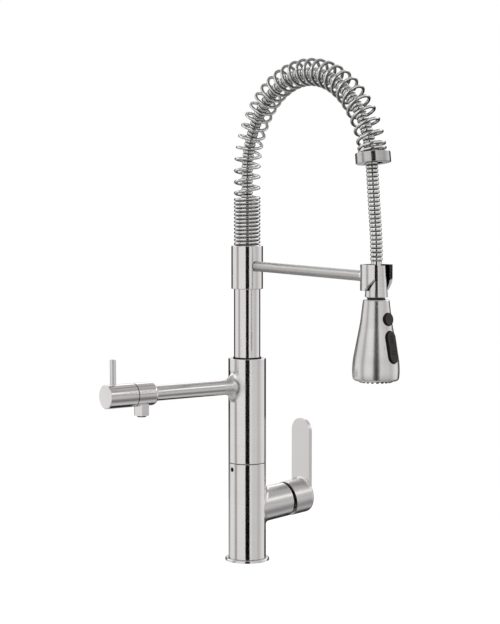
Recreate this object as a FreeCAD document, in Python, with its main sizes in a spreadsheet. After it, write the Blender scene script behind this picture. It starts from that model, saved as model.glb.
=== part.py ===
import FreeCAD, Part
import math
import operator
import os
import types

import Sketcher
from FreeCAD import Placement, Rotation, Vector

# Three-way kitchen faucet: a fixed valve body with a side lever for hot and cold,
# a lower swivel spout with its own quarter-turn knob for filtered water, and an upper
# swivel spout whose spring arch carries a hose and a pull-down spray head.
#
# Frame: origin at the centre of the base on the deck, +Z up. The spray head is to the
# front (-Y), the mixer lever to +X and the filter spout to -X at rest. Millimetres.

SIZES = {
    # Clearances, per side
    "seat_gap": 0.05,
    "running_gap": 0.05,
    "free_gap": 0.3,
    "seam_gap": 0.5,
    # Base and valve body
    "flange_diameter": 47.0,
    "flange_thickness": 2.7,
    "flange_rounding": 1.2,
    "gasket_diameter": 43.0,
    "gasket_width": 2.5,
    "gasket_thickness": 1.0,
    "body_diameter": 40.0,
    "body_top": 104.5,
    "body_bore": 33.0,
    "body_roof": 20.5,
    "foot_diameter": 36.0,
    "edge_rounding": 0.6,
    # Inlets under the base
    "shank_thread_diameter": 26.6,
    "shank_thread_depth": 14.0,
    "manifold_headroom": 4.0,
    "inlet_circle_radius": 7.6,
    "inlet_thread_diameter": 9.0,
    "inlet_thread_depth": 10.0,
    "waterway_diameter": 5.0,
    "feed_tube_diameter": 4.2,
    "feed_tube_bore": 3.0,
    "feed_tube_radius": 12.6,
    "feed_socket_depth": 6.0,
    # Swivel spindle on top of the valve body
    "spindle_diameter": 32.0,
    "spindle_headroom": 3.0,
    "spindle_bore": 20.0,
    "spigot_diameter": 30.0,
    "grub_diameter": 5.0,
    "grub_drop": 6.1,
    "grub_length": 4.2,
    "grub_socket": 2.6,
    "grub_notch_depth": 0.9,
    "ring_section": 1.4,
    "ring_groove_width": 2.0,
    "ring_spacing": 16.0,
    "feed_groove_width": 6.0,
    "feed_groove_depth": 1.2,
    # Side housing with the mixing cartridge, measured along its own tilted axis
    "housing_height": 54.9,
    "housing_tilt": 5.0,
    "housing_diameter": 36.5,
    "housing_length": 50.0,
    "housing_fillet": 6.0,
    "cartridge_diameter": 25.0,
    "cartridge_seat": 19.0,
    "cartridge_depth": 15.0,
    "cartridge_wall": 2.4,
    "seal_thickness": 1.0,
    "disc_thickness": 3.5,
    "disc_diameter": 15.0,
    "disc_socket_depth": 2.6,
    "disc_socket_gap": 0.5,
    "port_diameter": 4.6,
    "port_circle_radius": 6.6,
    "nut_bore": 17.2,
    "nut_length": 7.0,
    "rotor_neck_diameter": 16.4,
    "rotor_inset": 2.0,
    "pivot_inset": 4.0,
    "pivot_pin_diameter": 3.0,
    "pivot_pin_length": 14.0,
    "stem_diameter": 8.0,
    "stem_tip_diameter": 5.0,
    "stem_inset": 5.0,
    "stem_swing_up": 2.0,
    "stem_swing_down": 1.4,
    "bonnet_radius": 17.5,
    "bonnet_opening": 18.0,
    # Lever
    "cap_diameter": 37.5,
    "cap_seam": 2.4,
    "cap_rim_slant": 2.8,
    "cap_length": 26.6,
    "cap_bore": 33.0,
    "cap_crown": 13.0,
    "cap_rounding": 4.0,
    "hub_diameter": 16.0,
    "hub_length": 17.0,
    "paddle_thickness": 4.0,
    "paddle_width": 30.0,
    "paddle_rise": 90.9,
    "paddle_inset": 2.3,
    "paddle_corner": 14.0,
    "paddle_fillet": 3.0,
    "lever_grub_inset": 9.0,
    "lever_grub_diameter": 4.0,
    "lever_grub_length": 6.0,
    "index_plug_diameter": 5.0,
    "index_plug_depth": 3.0,
    # Filter spout
    "sleeve_above_arm": 29.4,
    "sleeve_roof": 5.0,
    "glide_thickness": 1.0,
    "filter_height": 186.6,
    "filter_tube_diameter": 16.0,
    "filter_tube_bore": 11.0,
    "filter_boss_end": 34.0,
    "filter_boss_fillet": 10.0,
    "filter_spigot_diameter": 13.0,
    "filter_spigot_length": 6.0,
    "filter_valve_diameter": 24.0,
    "filter_valve_start": 119.4,
    "filter_valve_length": 24.2,
    "filter_valve_shoulder": 4.0,
    "filter_bore": 17.0,
    "filter_bore_inset": 5.0,
    "headwork_nose_diameter": 12.0,
    "headwork_nose_length": 3.0,
    "filter_stem_diameter": 7.0,
    "filter_stem_inset": 5.0,
    "knob_reach": 33.4,
    "knob_rounding": 0.8,
    "knob_seam": 0.9,
    "pin_lever_inset": 9.0,
    "pin_lever_diameter": 6.0,
    "pin_lever_length": 25.0,
    "outlet_inset": 14.6,
    "outlet_nut_flats": 14.5,
    "outlet_drop": 21.4,
    "outlet_thread_diameter": 10.0,
    "outlet_thread_depth": 3.4,
    "outlet_bore": 6.0,
    "outlet_insert_diameter": 9.0,
    "outlet_insert_proud": 1.5,
    # Riser and docking arm
    "riser_diameter": 28.0,
    "riser_bore": 15.0,
    "riser_inset": 9.0,
    "riser_spigot_length": 22.0,
    "wiper_width": 1.0,
    "wiper_height": 1.2,
    "collar_diameter": 33.5,
    "collar_bottom": 289.4,
    "collar_height": 45.6,
    "collar_rounding": 0.8,
    "collar_grub_rise": 10.6,
    "dock_rise": 24.69,
    "dock_slope": 1.45,
    "dock_seam": 0.4,
    "dock_arm_diameter": 10.5,
    "dock_boss_length": 4.0,
    "reach": 205.0,
    "cradle_diameter": 31.0,
    "cradle_wall": 2.9,
    "cradle_below_arm": 12.9,
    "cradle_above_arm": 12.1,
    "cradle_mouth": 95.0,
    "cradle_corner_drop": 17.5,
    # Spring arch and hose
    "seat_flange_thickness": 4.0,
    "seat_spigot_diameter": 21.0,
    "seat_spigot_length": 15.0,
    "stop_lug_thickness": 2.0,
    "stop_lug_width": 2.2,
    "wire_diameter": 3.2,
    "spring_diameter": 28.2,
    "spring_clearance": 0.9,
    "dense_pitch": 3.86,
    "dense_turns": 14.0,
    "open_turns": 27.0,
    "end_pitch": 4.2,
    "end_turns": 3.5,
    "arch_rise": 75.4,
    "arch_inset": 4.8,
    "arch_angle": 173.0,
    "end_cap_diameter": 34.0,
    "end_cap_height": 10.3,
    "end_cap_floor": 2.0,
    "end_cap_hole": 18.0,
    "hose_diameter": 11.9,
    "hose_inset": 2.4,
    "hose_angle": 174.5,
    "hose_valley_depth": 0.9,
    "hose_bore": 9.4,
    "liner_bore": 6.5,
    "rib_pitch": 3.95,
    "rib_rise_end": 0.25,
    "rib_crest_end": 0.65,
    "rib_fall_end": 0.9,
    "hose_inlet_rise": 8.0,
    "fitting_length": 20.0,
    "barb_length": 9.0,
    # Spray head
    "ferrule_diameter": 10.5,
    "ferrule_length": 4.0,
    "neck_inset": 1.0,
    "neck_top_diameter": 18.2,
    "neck_diameter": 22.0,
    "neck_length": 30.6,
    "neck_bore": 8.0,
    "neck_chamfer": 0.8,
    "neck_seal_diameter": 17.3,
    "neck_seal_thickness": 2.0,
    "shell_top_diameter": 25.6,
    "shell_upper_length": 15.9,
    "shell_waist_top_diameter": 29.1,
    "shell_bend_length": 11.0,
    "shell_waist_diameter": 32.5,
    "shell_waist_rounding": 152.0,
    "shell_cone_length": 25.5,
    "shell_flare_diameter": 42.4,
    "shell_flare_rounding": 80.8,
    "shell_flare_length": 16.0,
    "shell_diameter": 45.6,
    "shell_belly_rounding": 50.6,
    "shell_belly_length": 9.5,
    "shell_rim_diameter": 43.8,
    "shell_wall": 2.4,
    "shell_rim_rounding": 3.0,
    "shell_rim_wall": 3.2,
    "shell_top_chamfer": 1.0,
    "core_diameter": 14.0,
    "core_head_diameter": 34.0,
    "core_head_height": 8.0,
    "face_thickness": 3.0,
    "nozzle_mat_thickness": 1.2,
    "nozzle_diameter": 2.4,
    "nozzle_proud": 1.5,
    "inner_nozzle_circle": 20.0,
    "inner_nozzles": 12,
    "outer_nozzle_circle": 30.0,
    "outer_nozzles": 20,
    "aerator_diameter": 12.0,
    "button_diameter": 12.5,
    "button_drop": 18.4,
    "button_rise": 1.7,
    "button_depth": 5.2,
    "shell_hole_diameter": 12.0,
    "rocker_width": 12.5,
    "rocker_length": 31.0,
    "rocker_drop": 17.9,
    "rocker_rise": 1.5,
    "rocker_depth": 5.0,
    "rocker_pin_diameter": 2.0,
    "rocker_pin_depth": 3.0,
    "rocker_pin_length": 18.5,
    "rocker_gap": 0.6,
    "key_rounding": 0.8,
    "key_turn": 9.0,
}

doc = FreeCAD.newDocument("kitchen_faucet")
sheet = doc.addObject("Spreadsheet::Sheet", "Sizes")
for row, (alias, number) in enumerate(SIZES.items(), start=1):
    sheet.set(f"A{row}", alias)
    sheet.set(f"B{row}", str(number))
    sheet.setAlias(f"B{row}", alias)
doc.recompute()


class Size:
    """A length or angle that knows both its number and the sheet formula behind it."""

    def __init__(self, number, formula):
        self.number = number
        self.formula = formula

    def __add__(self, other):
        return joined(self, operator.add, "+", other)

    def __radd__(self, other):
        return joined(other, operator.add, "+", self)

    def __sub__(self, other):
        return joined(self, operator.sub, "-", other)

    def __rsub__(self, other):
        return joined(other, operator.sub, "-", self)

    def __mul__(self, other):
        return joined(self, operator.mul, "*", other)

    def __rmul__(self, other):
        return joined(other, operator.mul, "*", self)

    def __truediv__(self, other):
        return joined(self, operator.truediv, "/", other)

    def __neg__(self):
        return joined(0, operator.sub, "-", self)

    def __float__(self):
        return float(self.number)


def sized(value):
    return value if isinstance(value, Size) else Size(value, str(value))


def joined(left, action, sign, right):
    left = sized(left)
    right = sized(right)
    return Size(action(left.number, right.number), f"({left.formula} {sign} {right.formula})")


def tangent(angle):
    return Size(math.tan(math.radians(float(angle))), f"tan({angle.formula})")


def sine(angle):
    return Size(math.sin(math.radians(float(angle))), f"sin({angle.formula})")


def cosine(angle):
    return Size(math.cos(math.radians(float(angle))), f"cos({angle.formula})")


d = types.SimpleNamespace(
    **{alias: Size(getattr(sheet, alias), f"Sizes.{alias}") for alias in SIZES}
)

# Places along the column, the lever and the filter spout, each from its neighbour
d.body_ceiling = d.body_top - d.body_roof
d.manifold_height = d.body_ceiling - d.shank_thread_depth - d.manifold_headroom
d.grub_height = d.body_top - d.grub_drop
d.cartridge_end = d.housing_length - d.nut_length
d.cartridge_floor = d.cartridge_end - d.cartridge_depth
d.rotor_end = d.housing_length - d.rotor_inset
d.lever_pivot = d.rotor_end - d.pivot_inset
d.cap_rim_top = d.housing_length + d.cap_seam
d.cap_rim_bottom = d.cap_rim_top + d.cap_rim_slant
d.cap_end = d.cap_rim_top + d.cap_length
d.cap_bore_end = d.cap_end - d.cap_crown
d.hub_start = d.cap_end - d.hub_length
d.stem_end = d.cap_end - d.stem_inset
d.lever_grub_place = d.cap_end - d.lever_grub_inset
d.paddle_top = d.housing_height + d.paddle_rise
d.sleeve_top = d.filter_height + d.sleeve_above_arm
d.spindle_top = d.sleeve_top - d.sleeve_roof - d.spindle_headroom
d.filter_valve_end = d.filter_valve_start + d.filter_valve_length
d.filter_bore_start = d.filter_valve_start + d.filter_bore_inset
d.outlet_place = d.filter_valve_start + d.outlet_inset
d.knob_end = d.filter_valve_end + d.knob_reach
d.filter_stem_end = d.knob_end - d.filter_stem_inset
d.pin_lever_place = d.knob_end - d.pin_lever_inset
d.outlet_nut_bottom = d.filter_height - d.outlet_drop
d.outlet_insert_bottom = d.outlet_nut_bottom - d.outlet_insert_proud
d.collar_top = d.collar_bottom + d.collar_height
d.riser_top = d.collar_top - d.riser_inset
d.collar_grub_height = d.collar_bottom + d.collar_grub_rise
d.dock_height = d.collar_bottom + d.dock_rise
d.cradle_arm_height = d.dock_height - d.reach * tangent(d.dock_slope)
d.cradle_bottom = d.cradle_arm_height - d.cradle_below_arm
d.cradle_top = d.cradle_arm_height + d.cradle_above_arm
d.hose_inlet_height = d.riser_top + d.hose_inlet_rise
d.arch_spring_line = d.collar_top + d.arch_rise
d.arch_radius = (d.reach - d.arch_inset) / 2
d.hose_arch_radius = d.arch_radius - d.hose_inset / 2
d.neck_top = d.cradle_top - d.neck_inset
d.neck_bottom = d.neck_top - d.neck_length
d.shell_top = d.neck_bottom - d.neck_seal_thickness
d.shell_waist_top = d.shell_top - d.shell_upper_length
d.shell_waist = d.shell_waist_top - d.shell_bend_length
d.shell_flare = d.shell_waist - d.shell_cone_length
d.shell_widest = d.shell_flare - d.shell_flare_length
d.shell_rim = d.shell_widest - d.shell_belly_length
d.nozzle_tip = d.shell_rim - d.nozzle_proud
d.button_height = d.shell_top - d.button_drop
d.rocker_height = d.shell_waist - d.rocker_drop
nodes = []


def bind(feature, prop, value):
    feature.setExpression(prop, sized(value).formula)


def keep(feature, label=None):
    """Mark a finished piece as a node of the assembly."""
    if label:
        feature.Label = label
    nodes.append(feature)
    return feature


def move(feature, x=0, y=0, z=0, axis=None, angle=0):
    """Place a feature, with every offset and the turn tied to the sheet."""
    if axis:
        feature.Placement = Placement(Vector(), Rotation(Vector(*axis), float(angle)))
        bind(feature, "Placement.Rotation.Angle", angle)
    for letter, value in (("x", x), ("y", y), ("z", z)):
        bind(feature, f"Placement.Base.{letter}", value)
    return feature


def along_lever(feature):
    """Stand a piece that was made along Z on the tilted axis of the side housing."""
    return move(feature, z=d.housing_height, axis=(0, 1, 0), angle=90 - d.housing_tilt)


def along_filter(feature):
    """Lay a piece that was made along Z on the filter spout, pointing to -X."""
    return move(feature, z=d.filter_height, axis=(0, 1, 0), angle=sized(-90))


def at_head(feature):
    """Put a piece that was made on the Z axis on the axis of the spray head."""
    return move(feature, y=-d.reach)


def flat_sketch(body, name, role):
    sketch = body.newObject("Sketcher::SketchObject", name)
    plane = next(item for item in body.Origin.OriginFeatures if item.Role == role)
    sketch.AttachmentSupport = [(plane, "")]
    sketch.MapMode = "FlatFace"
    return sketch


def hold(sketch, line, end, letter, value):
    """Tie one coordinate of a line's end to the sheet."""
    value = sized(value)
    if abs(value.number) < 1e-9:
        sketch.addConstraint(Sketcher.Constraint("PointOnObject", line, end, -2 if letter == "X" else -1))
        return
    ends = (-1, 1, line, end) if value.number > 0 else (line, end, -1, 1)
    length = value if value.number > 0 else -value
    index = sketch.addConstraint(Sketcher.Constraint(f"Distance{letter}", *ends, length.number))
    sketch.setExpression(f"Constraints[{index}]", length.formula)


def bowed(start, end, radius, side):
    """The arc between two corners that bows to the left (side 1) or the right (side -1) of its way."""
    half = (end - start).Length / 2
    rise = radius - math.sqrt(radius ** 2 - half ** 2)
    left = Vector(start.y - end.y, end.x - start.x, 0).normalize()
    return Part.Arc(start, (start + end) * 0.5 + left * (rise * side), end)


def polygon(sketch, corners, arcs):
    """Draw a closed outline through corners given as sizes, with arcs {line: (radius, side)}."""
    spots = [Vector(float(sized(x)), float(sized(y)), 0) for x, y in corners]
    count = len(spots)
    first_end = []
    for index in range(count):
        ends = (spots[index], spots[(index + 1) % count])
        radius, side = arcs.get(index, (None, -1))
        first_end.append(1 if side < 0 else 2)
        if radius is None:
            sketch.addGeometry(Part.LineSegment(*ends))
        else:
            sketch.addGeometry(bowed(*ends, float(radius), side))
    for index in range(count):
        after = (index + 1) % count
        last_end = 3 - first_end[index]
        sketch.addConstraint(Sketcher.Constraint("Coincident", index, last_end, after, first_end[after]))
    for index, (x, y) in enumerate(corners):
        hold(sketch, index, first_end[index], "X", x)
        hold(sketch, index, first_end[index], "Y", y)
    for index, (radius, side) in arcs.items():
        bend = sketch.addConstraint(Sketcher.Constraint("Radius", index, float(radius)))
        sketch.setExpression(f"Constraints[{bend}]", radius.formula)


def turned(label, corners, arcs=None):
    """A body turned about Z from corners given as (radius, height)."""
    body = doc.addObject("PartDesign::Body", label)
    sketch = flat_sketch(body, f"{label}_profile", "XZ_Plane")
    polygon(sketch, corners, arcs or {})
    turn = body.newObject("PartDesign::Revolution", f"{label}_turn")
    turn.Profile = sketch
    turn.ReferenceAxis = (sketch, ["V_Axis"])
    turn.Angle = 360
    doc.recompute()
    return body


def tube(label, outer, inner, bottom, top):
    """A plain ring or tube, from its diameters and its two ends."""
    return turned(label, [(inner / 2, bottom), (outer / 2, bottom), (outer / 2, top), (inner / 2, top)])


def rim_names(shape, rims):
    """Names of the circular edges that lie at the given (radius, height) places."""
    names = []
    for number, edge in enumerate(shape.Edges, start=1):
        if not isinstance(edge.Curve, Part.Circle):
            continue
        for radius, height in rims:
            near_radius = abs(edge.Curve.Radius - float(radius)) < 0.01
            near_height = abs(edge.Curve.Center.z - float(height)) < 0.01
            if near_radius and near_height:
                names.append(f"Edge{number}")
    return names


def dress(body, kind, rims, amount):
    """Fillet or chamfer chosen rims of a turned body."""
    base = body.Tip
    feature = body.newObject(f"PartDesign::{kind}", f"{body.Name}_{kind}{len(body.Group)}")
    feature.Base = (base, rim_names(base.Shape, rims))
    bind(feature, "Radius" if kind == "Fillet" else "Size", amount)
    doc.recompute()
    return body


def rod(name, diameter, length, x=0, y=0, z=0, axis=None, angle=0):
    """A straight round bar along Z, or along another axis once it is turned."""
    bar = doc.addObject("Part::Cylinder", name)
    bind(bar, "Radius", sized(diameter) / 2)
    bind(bar, "Height", length)
    return move(bar, x, y, z, axis, angle)


def block(name, length, width, height, x=0, y=0, z=0, axis=None, angle=0):
    """A straight bar of rectangular section with one corner at its place."""
    bar = doc.addObject("Part::Box", name)
    bind(bar, "Length", length)
    bind(bar, "Width", width)
    bind(bar, "Height", height)
    return move(bar, x, y, z, axis, angle)


def united(name, pieces):
    whole = doc.addObject("Part::MultiFuse", name)
    whole.Shapes = pieces
    return whole


def cut(name, base, tools):
    """Take tools away from a base and check that each of them really cut."""
    left = base
    for number, tool in enumerate(tools, start=1):
        less = doc.addObject("Part::Cut", f"{name}_cut{number}")
        less.Base = left
        less.Tool = tool
        doc.recompute()
        if less.Shape.Volume > left.Shape.Volume - 1e-3:
            raise RuntimeError(f"{tool.Name} takes nothing from {name}")
        left = less
    left.Label = name
    return left


def rounded(name, base, radius, chosen):
    """Fillet the edges of a finished shape that the chooser picks."""
    doc.recompute()
    soft = doc.addObject("Part::Fillet", name)
    soft.Base = base
    picks = [number for number, edge in enumerate(base.Shape.Edges, start=1) if chosen(edge)]
    if not picks:
        raise RuntimeError(f"no edge to round on {name}")
    soft.Edges = [(number, float(radius), float(radius)) for number in picks]
    doc.recompute()
    return soft


def bundle(name, pieces):
    """Pieces that are placed together, each still a separate solid."""
    whole = doc.addObject("Part::Compound", name)
    whole.Links = pieces
    return whole


def group(label, pieces):
    """Several separate solids that share one node."""
    return keep(bundle(label, pieces), label)


def ring(name, radius, section, height):
    """A round sealing ring about Z, from its middle radius and its section diameter."""
    seal = doc.addObject("Part::Torus", name)
    bind(seal, "Radius1", radius)
    bind(seal, "Radius2", section / 2)
    return move(seal, z=height)


def grooves(radius, cuts):
    """Corners of an outside turned surface with square grooves, each (height, width, depth)."""
    corners = []
    for height, width, depth in cuts:
        corners += [
            (radius, height - width / 2),
            (radius - depth, height - width / 2),
            (radius - depth, height + width / 2),
            (radius, height + width / 2),
        ]
    return corners


def hexagon(name, flats, length, x=0, y=0, z=0, axis=None, angle=0):
    """A six-sided bar along Z, or along another axis once it is turned."""
    bar = doc.addObject("Part::Prism", name)
    bar.Polygon = 6
    bind(bar, "Circumradius", flats / math.sqrt(3))
    bind(bar, "Height", length)
    return move(bar, x, y, z, axis, angle)


def slab(label, corners, width):
    """A flat plate with its outline in the XZ plane and its width to both sides of it."""
    body = doc.addObject("PartDesign::Body", label)
    sketch = flat_sketch(body, f"{label}_outline", "XZ_Plane")
    polygon(sketch, corners, {})
    pad = body.newObject("PartDesign::Pad", f"{label}_pad")
    pad.Profile = sketch
    pad.SideType = "Symmetric"
    bind(pad, "Length", width)
    doc.recompute()
    return body


# Turns that point a bar made along Z another way
TO_RIGHT = {"axis": (0, 1, 0), "angle": 90}
TO_LEFT = {"axis": (0, 1, 0), "angle": -90}
TO_BACK = {"axis": (1, 0, 0), "angle": -90}
OVERSHOOT = 2.0

body_radius = d.body_diameter / 2
bore_radius = d.body_bore / 2
manifold_bottom = d.shank_thread_depth
manifold_top = manifold_bottom + d.manifold_height
sleeve_bottom = d.body_top + d.seam_gap
spindle_radius = d.spindle_diameter / 2
sleeve_bore = d.spindle_diameter + 2 * d.running_gap
feed_socket = d.feed_tube_diameter + 2 * d.seat_gap
inlet_side = d.inlet_circle_radius * math.sin(math.radians(60))
inlet_front = d.inlet_circle_radius / 2


def port_rods(name, start, length):
    """Three round bars for the hot, cold and mixed ports of the mixing cartridge."""
    bars = [
        rod(f"{name}_hot", d.port_diameter, length, y=d.port_circle_radius, z=start),
        rod(f"{name}_cold", d.port_diameter, length, y=-d.port_circle_radius, z=start),
        rod(f"{name}_mixed", d.port_diameter, length, x=-d.port_circle_radius, z=start),
    ]
    return united(name, bars)


def make_base():
    """Flange, gasket, shank bushing and valve body, with what they hold."""
    gasket_edge = d.gasket_diameter / 2
    flange_corners = [
        (d.foot_diameter / 2 + d.seat_gap, 0),
        (gasket_edge - d.gasket_width - d.seat_gap, 0),
        (gasket_edge - d.gasket_width - d.seat_gap, d.gasket_thickness),
        (gasket_edge + d.seat_gap, d.gasket_thickness),
        (gasket_edge + d.seat_gap, 0),
        (d.flange_diameter / 2, 0),
        (d.flange_diameter / 2, d.flange_thickness),
        (d.foot_diameter / 2 + d.seat_gap, d.flange_thickness),
    ]
    flange = turned("base_flange", flange_corners)
    keep(dress(flange, "Fillet", [(d.flange_diameter / 2, d.flange_thickness)], d.flange_rounding))
    gasket_hole = d.gasket_diameter - 2 * d.gasket_width
    keep(tube("base_gasket", d.gasket_diameter, gasket_hole, 0, d.gasket_thickness))
    insert = d.body_bore - 2 * d.seat_gap
    keep(tube("shank_bushing", insert, d.shank_thread_diameter, 0, d.shank_thread_depth))

    column = turned("body_column", [
        (0, 0),
        (d.foot_diameter / 2, 0),
        (d.foot_diameter / 2, d.flange_thickness),
        (body_radius, d.flange_thickness),
        (body_radius, d.body_top),
        (0, d.body_top),
    ])
    dress(column, "Fillet", [(body_radius, d.body_top), (body_radius, d.flange_thickness)], d.edge_rounding)
    housing = along_lever(turned("side_housing", [
        (0, 0),
        (d.housing_diameter / 2, 0),
        (d.housing_diameter / 2, d.housing_length),
        (0, d.housing_length),
    ]))
    casting = united("body_casting", [column, housing])
    plain = (Part.Circle, Part.Line)
    casting = rounded("body_blend", casting, d.housing_fillet, lambda edge: not isinstance(edge.Curve, plain))
    lip = float(d.housing_length) / 2
    casting = rounded(
        "body_lip", casting, d.edge_rounding,
        lambda edge: isinstance(edge.Curve, Part.Circle) and edge.CenterOfMass.x > lip,
    )
    cartridge_hole = d.cartridge_diameter / 2 + d.seat_gap
    cartridge_bore = along_lever(turned("cartridge_bore", [
        (0, d.cartridge_seat),
        (cartridge_hole, d.cartridge_seat),
        (cartridge_hole, d.housing_length + OVERSHOOT),
        (0, d.housing_length + OVERSHOOT),
    ]))
    ports = along_lever(port_rods("body_ports", d.cartridge_seat / 2, d.cartridge_seat))
    top_length = d.body_top - d.body_ceiling + 2 * OVERSHOOT
    keep(cut("valve_body", casting, [
        rod("column_bore", d.body_bore, d.body_ceiling),
        rod("spigot_bore", d.spigot_diameter + 2 * d.seat_gap, top_length, z=d.body_ceiling - OVERSHOOT),
        cartridge_bore,
        ports,
        rod("grub_hole", d.grub_diameter, body_radius, x=-d.spigot_diameter / 4, z=d.grub_height, **TO_LEFT),
    ]))


def make_manifold():
    """Inlet block in the foot of the body, its seal and the tube that feeds the filter spout."""
    radius = bore_radius - d.seat_gap
    seal_height = manifold_top - 2 * d.ring_section - d.ring_groove_width
    blank = turned("manifold_blank", [
        (0, manifold_bottom),
        (radius, manifold_bottom),
        *grooves(radius, [(seal_height, d.ring_groove_width, d.ring_section)]),
        (radius, manifold_top),
        (0, manifold_top),
    ])
    inlets = [(inlet_front, inlet_side), (inlet_front, -inlet_side), (-d.inlet_circle_radius, 0)]
    threads = []
    for number, (x, y) in enumerate(inlets, start=1):
        threads.append(rod(
            f"inlet_thread{number}", d.inlet_thread_diameter, d.inlet_thread_depth,
            x=x, y=y, z=manifold_bottom,
        ))
    way = d.waterway_diameter
    rise = d.housing_height - manifold_bottom
    mixed_height = d.housing_height + d.port_circle_radius + way / 4
    jog_height = manifold_bottom + d.manifold_height / 3
    tools = threads + [
        rod("hot_way", way, rise, x=inlet_front, y=inlet_side, z=manifold_bottom),
        rod("cold_way", way, rise, x=inlet_front, y=-inlet_side, z=manifold_bottom),
        rod("hot_port", way, radius, x=inlet_front, y=inlet_side, z=d.housing_height, **TO_RIGHT),
        rod("cold_port", way, radius, x=inlet_front, y=-inlet_side, z=d.housing_height, **TO_RIGHT),
        rod("mixed_port", way, radius + OVERSHOOT, z=mixed_height, **TO_RIGHT),
        rod("mixed_way", way, manifold_top - mixed_height + OVERSHOOT, z=mixed_height),
        rod("filter_way", way, jog_height - manifold_bottom, x=-d.inlet_circle_radius, z=manifold_bottom),
        rod("filter_rise", d.feed_tube_bore, manifold_top - jog_height + way, x=-d.feed_tube_radius,
            z=jog_height - way),
        rod("filter_jog", d.feed_tube_bore, d.feed_tube_radius - d.inlet_circle_radius,
            x=-d.inlet_circle_radius, z=jog_height - way / 2, **TO_LEFT),
        rod("feed_socket_low", feed_socket, d.feed_socket_depth, x=-d.feed_tube_radius,
            z=manifold_top - d.feed_socket_depth),
    ]
    keep(cut("inlet_manifold", blank, tools))
    keep(ring("manifold_o_ring", radius - d.ring_section / 2, d.ring_section, seal_height))
    feed_length = d.body_ceiling - manifold_top + 2 * d.feed_socket_depth
    feed = tube("filter_feed_tube", d.feed_tube_diameter, d.feed_tube_bore, 0, feed_length)
    keep(move(feed, x=-d.feed_tube_radius, z=manifold_top - d.feed_socket_depth))


def make_spindle():
    """Fixed post that both spouts turn on, with its seals, its grub screw and the glide rings."""
    spigot_radius = d.spigot_diameter / 2
    low_ring = d.filter_height - d.ring_spacing / 2
    high_ring = d.filter_height + d.ring_spacing / 2
    notch_width = d.grub_diameter + 2 * d.free_gap
    blank = turned("spindle_blank", [
        (d.spindle_bore / 2, d.body_ceiling),
        (spigot_radius, d.body_ceiling),
        *grooves(spigot_radius, [(d.grub_height, notch_width, d.grub_notch_depth)]),
        (spigot_radius, d.body_top),
        (spindle_radius, d.body_top),
        *grooves(spindle_radius, [
            (low_ring, d.ring_groove_width, d.ring_section),
            (d.filter_height, d.feed_groove_width, d.feed_groove_depth),
            (high_ring, d.ring_groove_width, d.ring_section),
        ]),
        (spindle_radius, d.spindle_top),
        (d.spindle_bore / 2, d.spindle_top),
    ])
    keep(cut("swivel_spindle", blank, [
        rod("feed_channel", d.feed_tube_bore, d.filter_height - d.body_ceiling, x=-d.feed_tube_radius,
            z=d.body_ceiling),
        rod("feed_port", d.feed_tube_bore, spindle_radius - d.feed_tube_radius, x=-d.feed_tube_radius,
            z=d.filter_height, **TO_LEFT),
        rod("feed_socket_high", feed_socket, d.feed_socket_depth, x=-d.feed_tube_radius, z=d.body_ceiling),
    ]))
    seal_radius = spindle_radius - d.ring_section / 2
    seals = [ring(f"spindle_ring{number}", seal_radius, d.ring_section, height)
             for number, height in enumerate((low_ring, high_ring), start=1)]
    group("spindle_o_rings", seals)
    grub_start = spigot_radius - d.grub_notch_depth + d.seat_gap
    grub = rod("grub_blank", d.grub_diameter - 2 * d.seat_gap, d.grub_length, x=-grub_start,
               z=d.grub_height, **TO_LEFT)
    socket = hexagon("grub_hex", d.grub_socket, d.grub_length, x=-(grub_start + d.grub_length / 2),
                     z=d.grub_height, **TO_LEFT)
    keep(cut("spindle_grub_screw", grub, [socket]))
    glide_hole = d.spindle_diameter + 2 * d.seat_gap
    glide_rim = d.body_diameter - 2 * d.edge_rounding
    keep(tube("sleeve_glide_ring", glide_rim, glide_hole, d.body_top, sleeve_bottom))
    riser_ring = d.spindle_diameter - 2 * d.free_gap
    riser_hole = d.spindle_bore + 2 * d.free_gap
    keep(tube("riser_glide_ring", riser_ring, riser_hole, d.spindle_top, d.spindle_top + d.glide_thickness))


make_base()
make_manifold()
make_spindle()


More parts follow.
